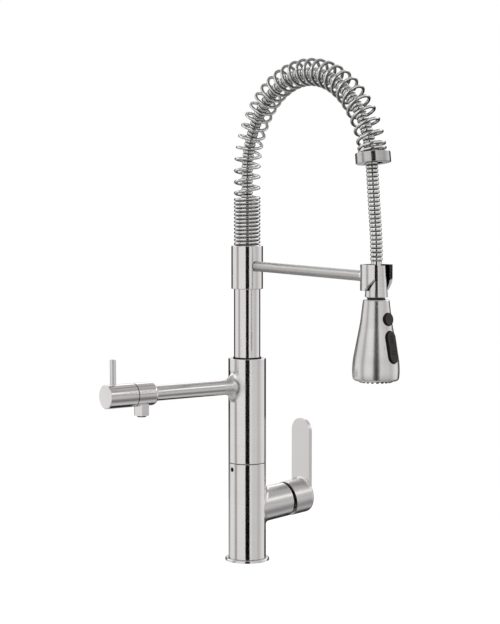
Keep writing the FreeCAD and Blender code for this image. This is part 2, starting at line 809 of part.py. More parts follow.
def make_cartridge():
    """Mixing cartridge in the side housing, made along Z and then laid on the housing's axis."""
    radius = d.cartridge_diameter / 2
    inside = radius - d.cartridge_wall
    disc_start = d.cartridge_floor + d.seal_thickness
    disc_end = disc_start + d.disc_thickness
    slider_start = disc_end + d.running_gap
    slider_end = slider_start + d.disc_thickness
    cup = turned("cartridge_cup", [
        (0, d.cartridge_seat),
        (radius, d.cartridge_seat),
        (radius, d.cartridge_end),
        (inside, d.cartridge_end),
        (inside, d.cartridge_floor),
        (0, d.cartridge_floor),
    ])
    floor_thickness = d.cartridge_floor - d.cartridge_seat
    shell_ports = port_rods("shell_ports", d.cartridge_seat, floor_thickness)
    keep(along_lever(cut("cartridge_shell", cup, [shell_ports])))

    seal_hole = d.port_diameter + 2 * d.seat_gap
    seal_diameter = seal_hole + 2 * d.seal_thickness
    spots = [(0, d.port_circle_radius), (0, -d.port_circle_radius), (-d.port_circle_radius, 0)]
    seals = []
    for number, (x, y) in enumerate(spots, start=1):
        seal = tube(f"port_seal{number}", seal_diameter, seal_hole, d.cartridge_floor, disc_start)
        seals.append(move(seal, x=x, y=y))
    along_lever(group("cartridge_seals", seals))

    disc = turned("fixed_disc_blank", [
        (0, disc_start),
        (inside - d.seat_gap, disc_start),
        (inside - d.seat_gap, disc_end),
        (0, disc_end),
    ])
    disc_ports = port_rods("disc_ports", disc_start, d.disc_thickness)
    keep(along_lever(cut("fixed_ceramic_disc", disc, [disc_ports])))

    slider = turned("moving_disc_blank", [
        (0, slider_start),
        (d.disc_diameter / 2, slider_start),
        (d.disc_diameter / 2, slider_end),
        (0, slider_end),
    ])
    socket = d.stem_tip_diameter + 2 * d.disc_socket_gap
    keep(along_lever(cut("moving_ceramic_disc", slider, [
        rod("disc_socket", socket, d.disc_socket_depth, z=slider_end - d.disc_socket_depth),
    ])))

    rotor_start = slider_end + d.seal_thickness
    neck = d.rotor_neck_diameter / 2
    flange_end = d.cartridge_end - 2 * d.running_gap
    rotor = turned("rotor_blank", [
        (0, rotor_start),
        (inside - d.running_gap, rotor_start),
        (inside - d.running_gap, flange_end),
        (neck, flange_end),
        (neck, d.rotor_end),
        (0, d.rotor_end),
    ])
    slot_up = d.stem_diameter / 2 + d.stem_swing_up
    slot_down = d.stem_diameter / 2 + d.stem_swing_down
    slot_width = d.stem_diameter + 2 * d.running_gap
    slot = block("rotor_slot", slot_up + slot_down, slot_width, d.rotor_end - rotor_start,
                 x=-slot_up, y=-slot_width / 2, z=rotor_start)
    pin_hole = rod("rotor_pin_hole", d.pivot_pin_diameter + 2 * d.seat_gap, d.rotor_neck_diameter,
                   y=-neck, z=d.lever_pivot, **TO_BACK)
    keep(along_lever(cut("cartridge_rotor", rotor, [slot, pin_hole])))
    pin = rod("pivot_bar", d.pivot_pin_diameter, d.pivot_pin_length, y=-d.pivot_pin_length / 2,
              z=d.lever_pivot, **TO_BACK)
    along_lever(group("stem_pin", [pin]))

    nut = tube("cartridge_nut", d.cartridge_diameter, d.nut_bore, d.cartridge_end, d.housing_length)
    keep(along_lever(nut))
    dome = doc.addObject("Part::Sphere", "bonnet_sphere")
    bind(dome, "Radius", d.bonnet_radius)
    move(dome, z=d.lever_pivot)
    dome_end = d.lever_pivot + d.bonnet_radius
    band = tube("bonnet_band", 2 * d.bonnet_radius, d.bonnet_opening, d.housing_length, dome_end)
    bonnet = doc.addObject("Part::Common", "bonnet_ring")
    bonnet.Base = dome
    bonnet.Tool = band
    keep(along_lever(bonnet))

    tip_start = slider_end - d.disc_socket_depth + d.disc_socket_gap + d.running_gap
    stem_start = rotor_start + d.free_gap / 2
    stem = turned("stem_blank", [
        (0, tip_start),
        (d.stem_tip_diameter / 2, tip_start),
        (d.stem_tip_diameter / 2, stem_start),
        (d.stem_diameter / 2, stem_start),
        (d.stem_diameter / 2, d.stem_end),
        (0, d.stem_end),
    ])
    stem_hole = rod("stem_hole", d.pivot_pin_diameter + 2 * d.running_gap, d.stem_diameter + OVERSHOOT,
                    y=-d.stem_diameter / 2 - OVERSHOOT / 2, z=d.lever_pivot, **TO_BACK)
    keep(along_lever(cut("lever_stem", stem, [stem_hole])))


def make_lever():
    """Lever cap with its upright paddle, its grub screw and the plug over the screw."""
    radius = d.cap_diameter / 2
    cap = turned("cap_blank", [
        (0, d.cap_rim_top),
        (radius, d.cap_rim_top),
        (radius, d.cap_end),
        (0, d.cap_end),
    ])
    dress(cap, "Fillet", [(radius, d.cap_end)], d.cap_rounding)
    along_lever(cap)
    paddle_start = d.cap_end - d.paddle_inset - d.paddle_thickness
    paddle_foot = d.housing_height + radius / 4
    paddle_height = d.paddle_top - paddle_foot
    wide = d.cap_diameter + 4 * d.paddle_fillet
    plate = block("paddle_plate", d.paddle_thickness, wide, paddle_height,
                  x=paddle_start, y=-wide / 2, z=paddle_foot)
    casting = united("lever_casting", [cap, plate])
    inner_x = float(paddle_start)

    def paddle_root(edge):
        on_inner_face = abs(edge.BoundBox.XMin - inner_x) < 0.01 and edge.BoundBox.XLength < 0.01
        return on_inner_face and not isinstance(edge.Curve, Part.Line)

    def top_corner(edge):
        along_x = abs(edge.tangentAt(edge.FirstParameter).x) > 0.99
        return along_x and edge.CenterOfMass.z > float(d.paddle_top) - 0.01

    blended = rounded("lever_blend", casting, d.paddle_fillet, paddle_root)
    # The plate and its root fillet are trimmed to the paddle's rounded outline, beside the cap
    depth = d.paddle_thickness + 2 * d.paddle_fillet + OVERSHOOT
    outline = rounded("paddle_outline", block(
        "paddle_inside", depth, d.paddle_width, paddle_height,
        x=paddle_start - d.paddle_fillet - OVERSHOOT / 2, y=-d.paddle_width / 2, z=paddle_foot,
    ), d.paddle_corner, top_corner)
    surround = block("paddle_surround", depth, wide + OVERSHOOT, paddle_height + OVERSHOOT,
                     x=paddle_start - d.paddle_fillet - OVERSHOOT / 2, y=-(wide + OVERSHOOT) / 2,
                     z=paddle_foot)
    trimmed = cut("lever_trim", blended, [cut("paddle_trim", surround, [outline, cap])])

    slope = (d.cap_rim_bottom - d.cap_rim_top) / d.cap_diameter
    rim_tool = along_lever(slab("rim_tool", [
        (-radius - OVERSHOOT, d.cap_rim_top - OVERSHOOT * slope),
        (-radius - OVERSHOOT, d.cap_rim_top - OVERSHOOT),
        (radius + OVERSHOOT, d.cap_rim_top - OVERSHOOT),
        (radius + OVERSHOOT, d.cap_rim_bottom + OVERSHOOT * slope),
    ], d.cap_diameter + 2 * OVERSHOOT))
    bore_tool = along_lever(turned("cap_bore_tool", [
        (0, d.cap_rim_top - OVERSHOOT),
        (d.cap_bore / 2, d.cap_rim_top - OVERSHOOT),
        (d.cap_bore / 2, d.cap_bore_end),
        (d.hub_diameter / 2, d.cap_bore_end),
        (d.hub_diameter / 2, d.hub_start),
        (0, d.hub_start),
    ]))
    stem_socket = d.stem_diameter / 2 + d.seat_gap
    stem_tool = along_lever(turned("stem_socket_tool", [
        (0, d.hub_start - OVERSHOOT),
        (stem_socket, d.hub_start - OVERSHOOT),
        (stem_socket, d.stem_end + d.seat_gap),
        (0, d.stem_end + d.seat_gap),
    ]))
    screw_hole = united("lever_screw_hole", [
        rod("lever_screw_way", d.lever_grub_diameter, radius, z=d.lever_grub_place, **TO_RIGHT),
        rod("index_plug_hole", d.index_plug_diameter, d.index_plug_depth + OVERSHOOT,
            x=radius - d.index_plug_depth, z=d.lever_grub_place, **TO_RIGHT),
    ])
    along_lever(screw_hole)
    keep(cut("lever_handle", trimmed, [rim_tool, bore_tool, stem_tool, screw_hole]))

    screw_start = d.stem_diameter / 2 + d.seat_gap
    screw = rod("lever_screw_bar", d.lever_grub_diameter - 2 * d.seat_gap, d.lever_grub_length,
                x=screw_start, z=d.lever_grub_place, **TO_RIGHT)
    along_lever(group("lever_grub_screw", [screw]))
    plug = rod("index_plug_bar", d.index_plug_diameter - 2 * d.seat_gap, d.index_plug_depth - d.free_gap,
               x=radius - d.index_plug_depth, z=d.lever_grub_place, **TO_RIGHT)
    along_lever(group("lever_index_plug", [plug]))


make_cartridge()
make_lever()


def make_filter_spout():
    """Swivel sleeve with the filter arm, the quarter-turn valve at its end and the knob."""
    tube_radius = d.filter_tube_diameter / 2
    spigot = d.filter_spigot_diameter / 2
    column = turned("sleeve_column", [
        (0, sleeve_bottom),
        (body_radius, sleeve_bottom),
        (body_radius, d.sleeve_top),
        (0, d.sleeve_top),
    ])
    dress(column, "Fillet", [(body_radius, sleeve_bottom), (body_radius, d.sleeve_top)], d.edge_rounding)
    boss = rod("filter_boss", d.filter_tube_diameter, d.filter_boss_end, z=d.filter_height, **TO_LEFT)
    casting = united("sleeve_casting", [column, boss])
    plain = (Part.Circle, Part.Line)
    casting = rounded(
        "sleeve_blend", casting, d.filter_boss_fillet, lambda edge: not isinstance(edge.Curve, plain),
    )
    socket_depth = d.filter_spigot_length + d.seat_gap
    roof_hole = d.riser_diameter + 2 * d.free_gap
    keep(cut("swivel_sleeve", casting, [
        rod("sleeve_bore", sleeve_bore, d.sleeve_top - d.sleeve_roof - sleeve_bottom, z=sleeve_bottom),
        rod("roof_hole", roof_hole, d.sleeve_roof, z=d.sleeve_top - d.sleeve_roof),
        rod("boss_socket", d.filter_spigot_diameter + 2 * d.seat_gap, socket_depth,
            x=-(d.filter_boss_end - socket_depth), z=d.filter_height, **TO_LEFT),
        rod("boss_way", d.filter_tube_bore, d.filter_boss_end, z=d.filter_height, **TO_LEFT),
    ]))

    valve_socket_end = d.filter_bore_start - OVERSHOOT / 2
    keep(along_filter(turned("filter_arm", [
        (d.filter_tube_bore / 2, d.filter_boss_end - d.filter_spigot_length),
        (spigot, d.filter_boss_end - d.filter_spigot_length),
        (spigot, d.filter_boss_end),
        (tube_radius, d.filter_boss_end),
        (tube_radius, d.filter_valve_start),
        (spigot, d.filter_valve_start),
        (spigot, valve_socket_end),
        (d.filter_tube_bore / 2, valve_socket_end),
    ])))

    valve_radius = d.filter_valve_diameter / 2
    valve_blank = turned("filter_valve_blank", [
        (spigot + d.seat_gap, d.filter_valve_start),
        (valve_radius, d.filter_valve_start),
        (valve_radius, d.filter_valve_end),
        (d.filter_bore / 2, d.filter_valve_end),
        (d.filter_bore / 2, d.filter_bore_start),
        (spigot + d.seat_gap, d.filter_bore_start),
    ])
    dress(valve_blank, "Fillet", [(valve_radius, d.filter_valve_start)], d.filter_valve_shoulder)
    outlet_hole = rod("outlet_hole", d.outlet_thread_diameter, valve_radius, x=-d.outlet_bore / 2,
                      z=d.outlet_place, **TO_LEFT)
    keep(along_filter(cut("filter_valve_body", valve_blank, [outlet_hole])))

    nose = d.headwork_nose_diameter / 2
    nose_end = d.filter_valve_end + d.headwork_nose_length
    chamber = nose - d.seal_thickness
    stem_hole = d.filter_stem_diameter / 2 + d.running_gap
    window = d.outlet_bore + d.filter_spigot_length / 2
    chamber_start = d.outlet_place - window / 2
    chamber_end = d.outlet_place + window / 2
    headwork = turned("headwork_blank", [
        (chamber, chamber_start),
        (d.filter_bore / 2 - d.seat_gap, chamber_start),
        (d.filter_bore / 2 - d.seat_gap, d.filter_valve_end),
        (nose, d.filter_valve_end),
        (nose, nose_end),
        (stem_hole, nose_end),
        (stem_hole, chamber_end),
        (chamber, chamber_end),
    ])
    outlet_window = rod("headwork_window", d.outlet_bore, valve_radius, z=d.outlet_place, **TO_LEFT)
    keep(along_filter(cut("filter_headwork", headwork, [outlet_window])))
    stem_start = chamber_end - d.seal_thickness
    keep(along_filter(turned("filter_stem", [
        (0, stem_start),
        (d.filter_stem_diameter / 2, stem_start),
        (d.filter_stem_diameter / 2, d.filter_stem_end),
        (0, d.filter_stem_end),
    ])))

    thread = d.outlet_thread_diameter - 2 * d.seat_gap
    thread_top = d.filter_height - d.filter_bore / 2 - d.seat_gap
    nut_height = thread_top - d.outlet_nut_bottom
    nut_blank = hexagon("outlet_hex", d.outlet_nut_flats, nut_height,
                        x=-d.outlet_place, z=d.outlet_nut_bottom)
    saddle = rod("outlet_saddle", d.filter_valve_diameter, d.filter_valve_diameter,
                 x=-d.outlet_place + valve_radius, z=d.filter_height, **TO_LEFT)
    nut = united("outlet_nut_solid", [
        cut("outlet_hex_seat", nut_blank, [saddle]),
        rod("outlet_thread", thread, nut_height - d.outlet_bore / 2, x=-d.outlet_place,
            z=d.outlet_nut_bottom + d.outlet_bore / 2),
    ])
    keep(cut("filter_outlet_nut", nut, [
        rod("outlet_way", d.outlet_bore, nut_height, x=-d.outlet_place, z=d.outlet_nut_bottom),
        rod("outlet_insert_seat", d.outlet_insert_diameter + 2 * d.seat_gap, d.outlet_thread_depth,
            x=-d.outlet_place, z=d.outlet_nut_bottom),
    ]))
    insert_top = d.outlet_nut_bottom + d.outlet_thread_depth
    insert = tube("filter_outlet_insert", d.outlet_insert_diameter, d.outlet_bore,
                  d.outlet_insert_bottom, insert_top)
    keep(move(insert, x=-d.outlet_place))

    knob_start = d.filter_valve_end + d.knob_seam
    counterbore_end = nose_end + d.free_gap
    stem_socket = d.filter_stem_diameter / 2 + d.seat_gap
    knob = turned("knob_blank", [
        (nose + d.free_gap, knob_start),
        (valve_radius, knob_start),
        (valve_radius, d.knob_end),
        (0, d.knob_end),
        (0, d.filter_stem_end + d.seat_gap),
        (stem_socket, d.filter_stem_end + d.seat_gap),
        (stem_socket, counterbore_end),
        (nose + d.free_gap, counterbore_end),
    ])
    dress(knob, "Fillet", [(valve_radius, d.knob_end)], d.knob_rounding)
    pin_hole = rod("pin_hole", d.pin_lever_diameter + 2 * d.seat_gap, d.filter_valve_diameter,
                   z=d.pin_lever_place, **TO_RIGHT)
    keep(along_filter(cut("filter_knob", knob, [pin_hole])))
    pin_radius = d.pin_lever_diameter / 2
    pin = turned("filter_pin_lever", [
        (0, stem_socket),
        (pin_radius, stem_socket),
        (pin_radius, valve_radius + d.pin_lever_length),
        (0, valve_radius + d.pin_lever_length),
    ])
    dress(pin, "Fillet", [(pin_radius, valve_radius + d.pin_lever_length)], d.knob_rounding)
    keep(move(pin, x=-d.pin_lever_place, z=d.filter_height))
    wiper = d.riser_diameter + 2 * d.wiper_width
    wiper_hole = d.riser_diameter + 2 * d.running_gap
    keep(tube("riser_wiper_ring", wiper, wiper_hole, d.sleeve_top, d.sleeve_top + d.wiper_height))


riser_radius = d.riser_diameter / 2
recess_radius = d.spring_diameter / 2 + d.spring_clearance
seat_top = d.riser_top + d.seat_flange_thickness


def along_arm(name, diameter, start, end):
    """A rod on the docking arm's falling line, between two distances from the column's axis."""
    return rod(
        name, diameter, (end - start) / cosine(d.dock_slope), y=-start,
        z=d.dock_height - start * tangent(d.dock_slope), axis=(1, 0, 0), angle=90 + d.dock_slope,
    )


def make_riser():
    """Upper swivel pipe with its seals, the dock collar, the docking arm and the cradle."""
    spigot = d.spindle_bore / 2 - d.running_gap
    spigot_bottom = d.spindle_top - d.riser_spigot_length
    ring_heights = [spigot_bottom + d.riser_spigot_length * share / 3 for share in (1, 2)]
    shoulder = d.spindle_top + d.glide_thickness
    keep(turned("riser_tube", [
        (d.riser_bore / 2, spigot_bottom),
        (spigot, spigot_bottom),
        *grooves(spigot, [(height, d.ring_groove_width, d.ring_section) for height in ring_heights]),
        (spigot, shoulder),
        (riser_radius, shoulder),
        (riser_radius, d.riser_top),
        (d.riser_bore / 2, d.riser_top),
    ]))
    seals = [ring(f"riser_ring{number}", spigot - d.ring_section / 2, d.ring_section, height)
             for number, height in enumerate(ring_heights, start=1)]
    group("riser_o_rings", seals)

    collar_radius = d.collar_diameter / 2
    collar = turned("collar_blank", [
        (riser_radius + d.seat_gap, d.collar_bottom),
        (collar_radius, d.collar_bottom),
        (collar_radius, d.collar_top),
        (recess_radius, d.collar_top),
        (recess_radius, d.riser_top),
        (riser_radius + d.seat_gap, d.riser_top),
    ])
    collar_rims = [(collar_radius, d.collar_bottom), (collar_radius, d.collar_top)]
    dress(collar, "Fillet", collar_rims, d.collar_rounding)
    keep(cut("dock_collar", collar, [
        along_arm("arm_hole", d.dock_arm_diameter + 2 * d.dock_seam, riser_radius / 2,
                  riser_radius / 2 + collar_radius),
        rod("collar_grub_hole", d.grub_diameter, collar_radius, y=riser_radius / 2,
            z=d.collar_grub_height, **TO_BACK),
    ]))
    screw_length = collar_radius - riser_radius - d.seat_gap - d.free_gap
    screw = rod("collar_screw_bar", d.grub_diameter - 2 * d.seat_gap, screw_length,
                y=riser_radius + d.seat_gap, z=d.collar_grub_height, **TO_BACK)
    keep(cut("collar_grub_screw", screw, [
        hexagon("collar_screw_hex", d.grub_socket, screw_length,
                y=collar_radius - screw_length / 2 - d.free_gap, z=d.collar_grub_height, **TO_BACK),
    ]))

    cradle_radius = d.cradle_diameter / 2
    arm_start = riser_radius + d.free_gap
    arm_end = d.reach - cradle_radius - d.dock_boss_length
    keep(along_arm("dock_arm", d.dock_arm_diameter, arm_start, arm_end))
    cradle_height = d.cradle_top - d.cradle_bottom
    band = rod("cradle_band", d.cradle_diameter, cradle_height, y=-d.reach, z=d.cradle_bottom)
    boss = along_arm("cradle_boss", d.dock_arm_diameter, arm_end, d.reach)
    hollow = rod("cradle_hollow", d.cradle_diameter - 2 * d.cradle_wall, cradle_height, y=-d.reach,
                 z=d.cradle_bottom)
    mouth_depth = d.cradle_diameter
    mouth_side = mouth_depth * tangent(d.cradle_mouth / 2)
    mouth = move(
        slab("cradle_mouth_tool", [(0, 0), (mouth_side, mouth_depth), (-mouth_side, mouth_depth)],
             cradle_height + OVERSHOOT),
        y=-d.reach, z=(d.cradle_bottom + d.cradle_top) / 2, axis=(1, 0, 0), angle=90,
    )
    corner = move(
        slab("cradle_corner_tool", [
            (0, d.cradle_bottom),
            (d.cradle_diameter, d.cradle_bottom),
            (d.cradle_diameter, d.cradle_bottom + 2 * d.cradle_corner_drop),
        ], d.cradle_diameter + OVERSHOOT),
        y=-d.reach, axis=(0, 0, 1), angle=-90,
    )
    keep(cut("dock_cradle", united("cradle_casting", [band, boss]), [hollow, mouth, corner]))


make_filter_spout()
make_riser()


arch_end_y = -d.arch_radius * (1 - cosine(d.arch_angle))
arch_end_z = d.arch_spring_line + d.arch_radius * sine(d.arch_angle)
wire_radius = d.wire_diameter / 2
coil_radius = (d.spring_diameter - d.wire_diameter) / 2
ferrule_top = d.neck_top + d.ferrule_length


spring_arc = (float(d.arch_radius), math.radians(float(d.arch_angle)))
hose_arc = (float(d.hose_arch_radius), math.radians(float(d.hose_angle)))


def arch_frame(travel, radius, angle):
    """Point, direction and in-plane side of a line round the arch, by travel from the deck's level."""
    line = float(d.arch_spring_line)
    turn = min(max((travel - line) / radius, 0.0), angle)
    straight = travel - radius * turn
    ahead = Vector(0, -math.sin(turn), math.cos(turn))
    side = Vector(0, math.cos(turn), math.sin(turn))
    point = Vector(0, -radius * (1 - math.cos(turn)), line + radius * math.sin(turn))
    return point + ahead * (straight - line), ahead, side


def arch_travel_end(radius, angle):
    return float(d.arch_spring_line) + radius * angle


def biarc(start, start_way, end, end_way):
    """Two arcs that leave the start and reach the end in the given directions."""
    span = end - start
    both = start_way + end_way
    spread = 2 * (1 - start_way.dot(end_way))
    reach = (-span.dot(both) + math.sqrt(span.dot(both) ** 2 + spread * span.dot(span))) / spread
    first = start + start_way * reach
    last = end - end_way * reach
    middle = (first + last) * 0.5
    return [one_arc(start, first, middle), one_arc(middle, last, end)]


def one_arc(start, corner, end):
    """The arc that touches the lines from its corner to both ends."""
    chord_middle = (start + end) * 0.5
    half_chord = (end - start).Length / 2
    rise = corner - chord_middle
    half_turn = math.atan2(rise.Length, half_chord)
    top = chord_middle + rise * (half_chord * math.tan(half_turn / 2) / rise.Length)
    return Part.Arc(start, top, end).toShape()


def round_pipe(spine, start, ahead, radius):
    """A solid round pipe along a smooth wire, checked against its section times its length."""
    pipe = Part.BRepOffsetAPI.MakePipeShell(spine)
    pipe.add(Part.Wire([Part.Circle(start, ahead, radius).toShape()]))
    pipe.build()
    pipe.makeSolid()
    solid = pipe.shape()
    expected = math.pi * radius ** 2 * spine.Length
    if abs(abs(solid.Volume) - expected) > 0.01 * expected:
        raise RuntimeError(f"pipe volume {solid.Volume:.1f}, expected {expected:.1f}")
    return solid


def feature(label, shape):
    piece = doc.addObject("Part::Feature", label)
    piece.Shape = shape
    piece.Placement = Placement()
    return keep(piece, label)


def make_spring():
    """Arch spring: close turns above the collar, open turns round the arch, close turns in the end cap."""
    first_travel = float(seat_top + wire_radius + d.seat_gap)
    cap_depth = d.end_cap_height / 2 - d.end_cap_floor - wire_radius - d.seat_gap
    last_travel = arch_travel_end(*spring_arc) + float(cap_depth)
    dense = float(d.dense_turns)
    opened = float(d.open_turns)
    closed = float(d.end_turns)
    dense_travel = dense * float(d.dense_pitch)
    closed_travel = closed * float(d.end_pitch)
    open_pitch = (last_travel - first_travel - dense_travel - closed_travel) / opened
    turns = dense + opened + closed

    def travel_at(turn):
        turn = min(max(turn, 0.0), turns)
        travel = first_travel + min(turn, dense) * float(d.dense_pitch)
        travel += min(max(turn - dense, 0.0), opened) * open_pitch
        return travel + max(turn - dense - opened, 0.0) * float(d.end_pitch)

    def coil_point(turn):
        middle, ahead, side = arch_frame(travel_at(turn), *spring_arc)
        angle = 2 * math.pi * turn
        return middle + (Vector(1, 0, 0) * math.cos(angle) + side * math.sin(angle)) * float(coil_radius)

    def coil_way(turn):
        if turn in (0, turns):
            side = arch_frame(travel_at(turn), *spring_arc)[2]
            angle = 2 * math.pi * turn
            return side * math.cos(angle) - Vector(1, 0, 0) * math.sin(angle)
        step = 1 / 24
        return (coil_point(turn + step) - coil_point(turn - step)).normalize()

    halves = round(2 * turns)
    marks = [turns * index / halves for index in range(halves + 1)]
    points = [coil_point(mark) for mark in marks]
    ways = [coil_way(mark) for mark in marks]
    straight = float(d.wire_diameter)
    tail = points[0] - ways[0] * straight
    tip = points[-1] + ways[-1] * straight
    edges = [Part.LineSegment(tail, points[0]).toShape()]
    for index in range(halves):
        edges += biarc(points[index], ways[index], points[index + 1], ways[index + 1])
    edges.append(Part.LineSegment(points[-1], tip).toShape())
    tightest = min(edge.Curve.Radius for edge in edges[1:-1])
    spine = Part.Wire(edges)
    feature("arch_spring", round_pipe(spine, tail, ways[0], float(wire_radius)))

    per_turn = 24
    samples = [coil_point(index / per_turn) for index in range(int(turns * per_turn) + 1)]
    nearest = min(
        (samples[index] - samples[other]).Length
        for index in range(len(samples))
        for other in range(index + per_turn // 2, min(index + 2 * per_turn, len(samples)))
    )
    gap = nearest - float(d.wire_diameter)
    print(f"spring: {turns} turns, open pitch {open_pitch:.2f}, least gap {gap:.2f}, tightest {tightest:.2f}")
    if gap < 0.4:
        raise RuntimeError("the spring's turns come too close")


def make_spring_ends():
    """Seat under the spring, the hose's inlet fitting in the riser and the cap on the spring's far end."""
    lug_inside = coil_radius - d.stop_lug_width + wire_radius / 2
    lug_front = -(d.wire_diameter + d.stop_lug_thickness)
    seat = turned("seat_blank", [
        (d.riser_bore / 2, d.riser_top),
        (recess_radius - d.seat_gap, d.riser_top),
        (recess_radius - d.seat_gap, seat_top),
        (d.seat_spigot_diameter / 2, seat_top),
        (d.seat_spigot_diameter / 2, seat_top + d.seat_spigot_length),
        (d.riser_bore / 2, seat_top + d.seat_spigot_length),
    ])
    seat_lug = block("seat_lug", d.stop_lug_width, d.stop_lug_thickness, d.wire_diameter + d.seat_gap,
                     x=lug_inside, y=lug_front, z=seat_top)
    keep(united("spring_seat", [seat, seat_lug]))

    fitting_radius = d.riser_bore / 2 - d.seat_gap
    barb = d.liner_bore / 2 - d.seat_gap
    way = d.waterway_diameter / 2
    keep(turned("hose_inlet_fitting", [
        (way, d.hose_inlet_height - d.fitting_length),
        (fitting_radius, d.hose_inlet_height - d.fitting_length),
        (fitting_radius, d.hose_inlet_height),
        (barb, d.hose_inlet_height),
        (barb, d.hose_inlet_height + d.barb_length),
        (way, d.hose_inlet_height + d.barb_length),
    ]))

    half = d.end_cap_height / 2
    cap = turned("cap_cup", [
        (d.end_cap_hole / 2, half - d.end_cap_floor),
        (recess_radius, half - d.end_cap_floor),
        (recess_radius, -half),
        (d.end_cap_diameter / 2, -half),
        (d.end_cap_diameter / 2, half),
        (d.end_cap_hole / 2, half),
    ])
    dress(cap, "Fillet", [(d.end_cap_diameter / 2, half), (d.end_cap_diameter / 2, -half)], d.edge_rounding)
    cap_lug = block("cap_lug", d.stop_lug_width, d.stop_lug_thickness, d.wire_diameter + d.seat_gap,
                    x=-lug_inside - d.stop_lug_width, y=lug_front,
                    z=half - d.end_cap_floor - d.wire_diameter - d.seat_gap)
    end_cap = united("spring_end_cap", [cap, cap_lug])
    keep(move(end_cap, y=arch_end_y, z=arch_end_z, axis=(1, 0, 0), angle=d.arch_angle))


def ribbed(stations, count):
    """Ribbed sleeve, a ruled loft through four circles for each rib along the stations."""
    crest = float(d.hose_diameter) / 2
    valley = crest - float(d.hose_valley_depth)
    steps = (
        (0.0, valley),
        (float(d.rib_rise_end), crest),
        (float(d.rib_crest_end), crest),
        (float(d.rib_fall_end), valley),
    )
    rings = []
    for rib in range(count):
        for place, radius in steps:
            rings.append((rib + place, radius))
    rings.append((count, valley))
    wires = []
    for place, radius in rings:
        middle, ahead = stations(place / count)
        circle = Part.Circle(middle, ahead, radius)
        circle.XAxis = Vector(1, 0, 0)
        wires.append(Part.Wire([circle.toShape()]))
    return Part.makeLoft(wires, True, True)


def make_hose():
    """Hose from the riser, through the arch and down to the spray head, in a fixed and a moving stretch."""
    straight = float(d.hose_diameter)
    start = float(d.hose_inlet_height)
    arc_end = arch_travel_end(*hose_arc)
    joint = arc_end + straight
    joint_point, down, side = arch_frame(joint, *hose_arc)
    lean = math.radians(180 - float(d.hose_angle))
    plumb = straight / 4
    drop = joint_point.z - float(ferrule_top) - plumb
    shift = float(d.reach) + joint_point.y
    half_lean = math.tan(lean / 2)
    slant = max((shift - drop * half_lean) / (math.sin(lean) - math.cos(lean) * half_lean), plumb)
    lean_end = joint_point + down * slant
    bend = (float(d.reach) + lean_end.y) / (1 - math.cos(lean))
    plumb_z = lean_end.z - bend * math.sin(lean)
    bend_centre = Vector(0, -float(d.reach) + bend, plumb_z)
    print(f"hose: arch radius {hose_arc[0]:.1f}, straight {slant:.2f}, lower bend radius {bend:.1f}")
    print(f"hose: joint at height {joint_point.z:.3f}")

    def bend_point(share):
        angle = lean * (1 - share)
        return bend_centre + Vector(0, -math.cos(angle), math.sin(angle)) * bend

    def lower_station(share):
        lower_length = slant + bend * lean + plumb_z - float(ferrule_top)
        travel = share * lower_length
        if travel <= slant:
            return joint_point + down * travel, down
        if travel <= slant + bend * lean:
            turned_share = (travel - slant) / (bend * lean)
            angle = lean * (1 - turned_share)
            return bend_point(turned_share), Vector(0, -math.sin(angle), -math.cos(angle))
        return Vector(0, -float(d.reach), plumb_z - (travel - slant - bend * lean)), Vector(0, 0, -1)

    def arch_station(share):
        middle, ahead, side = arch_frame(start + share * (joint - start), *hose_arc)
        return middle, ahead

    arc_start = float(d.arch_spring_line)
    travels = (start, arc_start, (arc_start + arc_end) / 2, arc_end, joint)
    arch_points = [arch_frame(travel, *hose_arc)[0] for travel in travels]
    arch_spine = Part.Wire([
        Part.LineSegment(arch_points[0], arch_points[1]).toShape(),
        Part.Arc(arch_points[1], arch_points[2], arch_points[3]).toShape(),
        Part.LineSegment(arch_points[3], arch_points[4]).toShape(),
    ])
    lower_spine = Part.Wire([
        Part.LineSegment(joint_point, lean_end).toShape(),
        Part.Arc(lean_end, bend_point(0.5), bend_point(1.0)).toShape(),
        Part.LineSegment(bend_point(1.0), Vector(0, -float(d.reach), float(ferrule_top))).toShape(),
    ])
    bore = float(d.hose_bore) / 2
    liner = bore - float(d.seat_gap)
    for end, spine, stations in (("arch", arch_spine, arch_station), ("lower", lower_spine, lower_station)):
        first, ahead = stations(0.0)
        count = round(spine.Length / float(d.rib_pitch))
        hollow = round_pipe(spine, first, ahead, bore)
        feature(f"hose_sheath_{end}", ribbed(stations, count).cut(hollow))
        way = round_pipe(spine, first, ahead, float(d.liner_bore) / 2)
        feature(f"hose_liner_{end}", round_pipe(spine, first, ahead, liner).cut(way))
        print(f"hose {end}: {count} ribs on {spine.Length:.1f} mm")


make_spring()
make_spring_ends()
make_hose()


face_radius = d.shell_rim_diameter / 2 - d.shell_rim_wall
face_top = d.shell_rim + d.face_thickness
mat_top = face_top + d.nozzle_mat_thickness


def cone_lean(low_diameter, low, high_diameter, high):
    """Lean of a cone's side from the upright, as an angle."""
    slope = (low_diameter - high_diameter) / 2 / (high - low)
    return Size(math.degrees(math.atan(slope.number)), f"(atan({slope.formula}) / 1 deg)")


upper_lean = cone_lean(d.shell_waist_top_diameter, d.shell_waist_top, d.shell_top_diameter, d.shell_top)
lower_lean = cone_lean(d.shell_flare_diameter, d.shell_flare, d.shell_waist_diameter, d.shell_waist)
button_radius = d.shell_waist_top_diameter / 2 + (d.shell_waist_top - d.button_height) * tangent(upper_lean)
rocker_radius = d.shell_waist_diameter / 2 + (d.shell_waist - d.rocker_height) * tangent(lower_lean)


def on_button(piece):
    """Stand a piece on the shell at the round button, its Z axis square to the shell."""
    return move(piece, y=-d.reach - button_radius, z=d.button_height, axis=(1, 0, 0), angle=90 - upper_lean)


def on_rocker(piece):
    """Stand a piece on the shell at the rocker, its Z axis square to the shell."""
    return move(piece, y=-d.reach - rocker_radius, z=d.rocker_height, axis=(1, 0, 0), angle=90 - lower_lean)


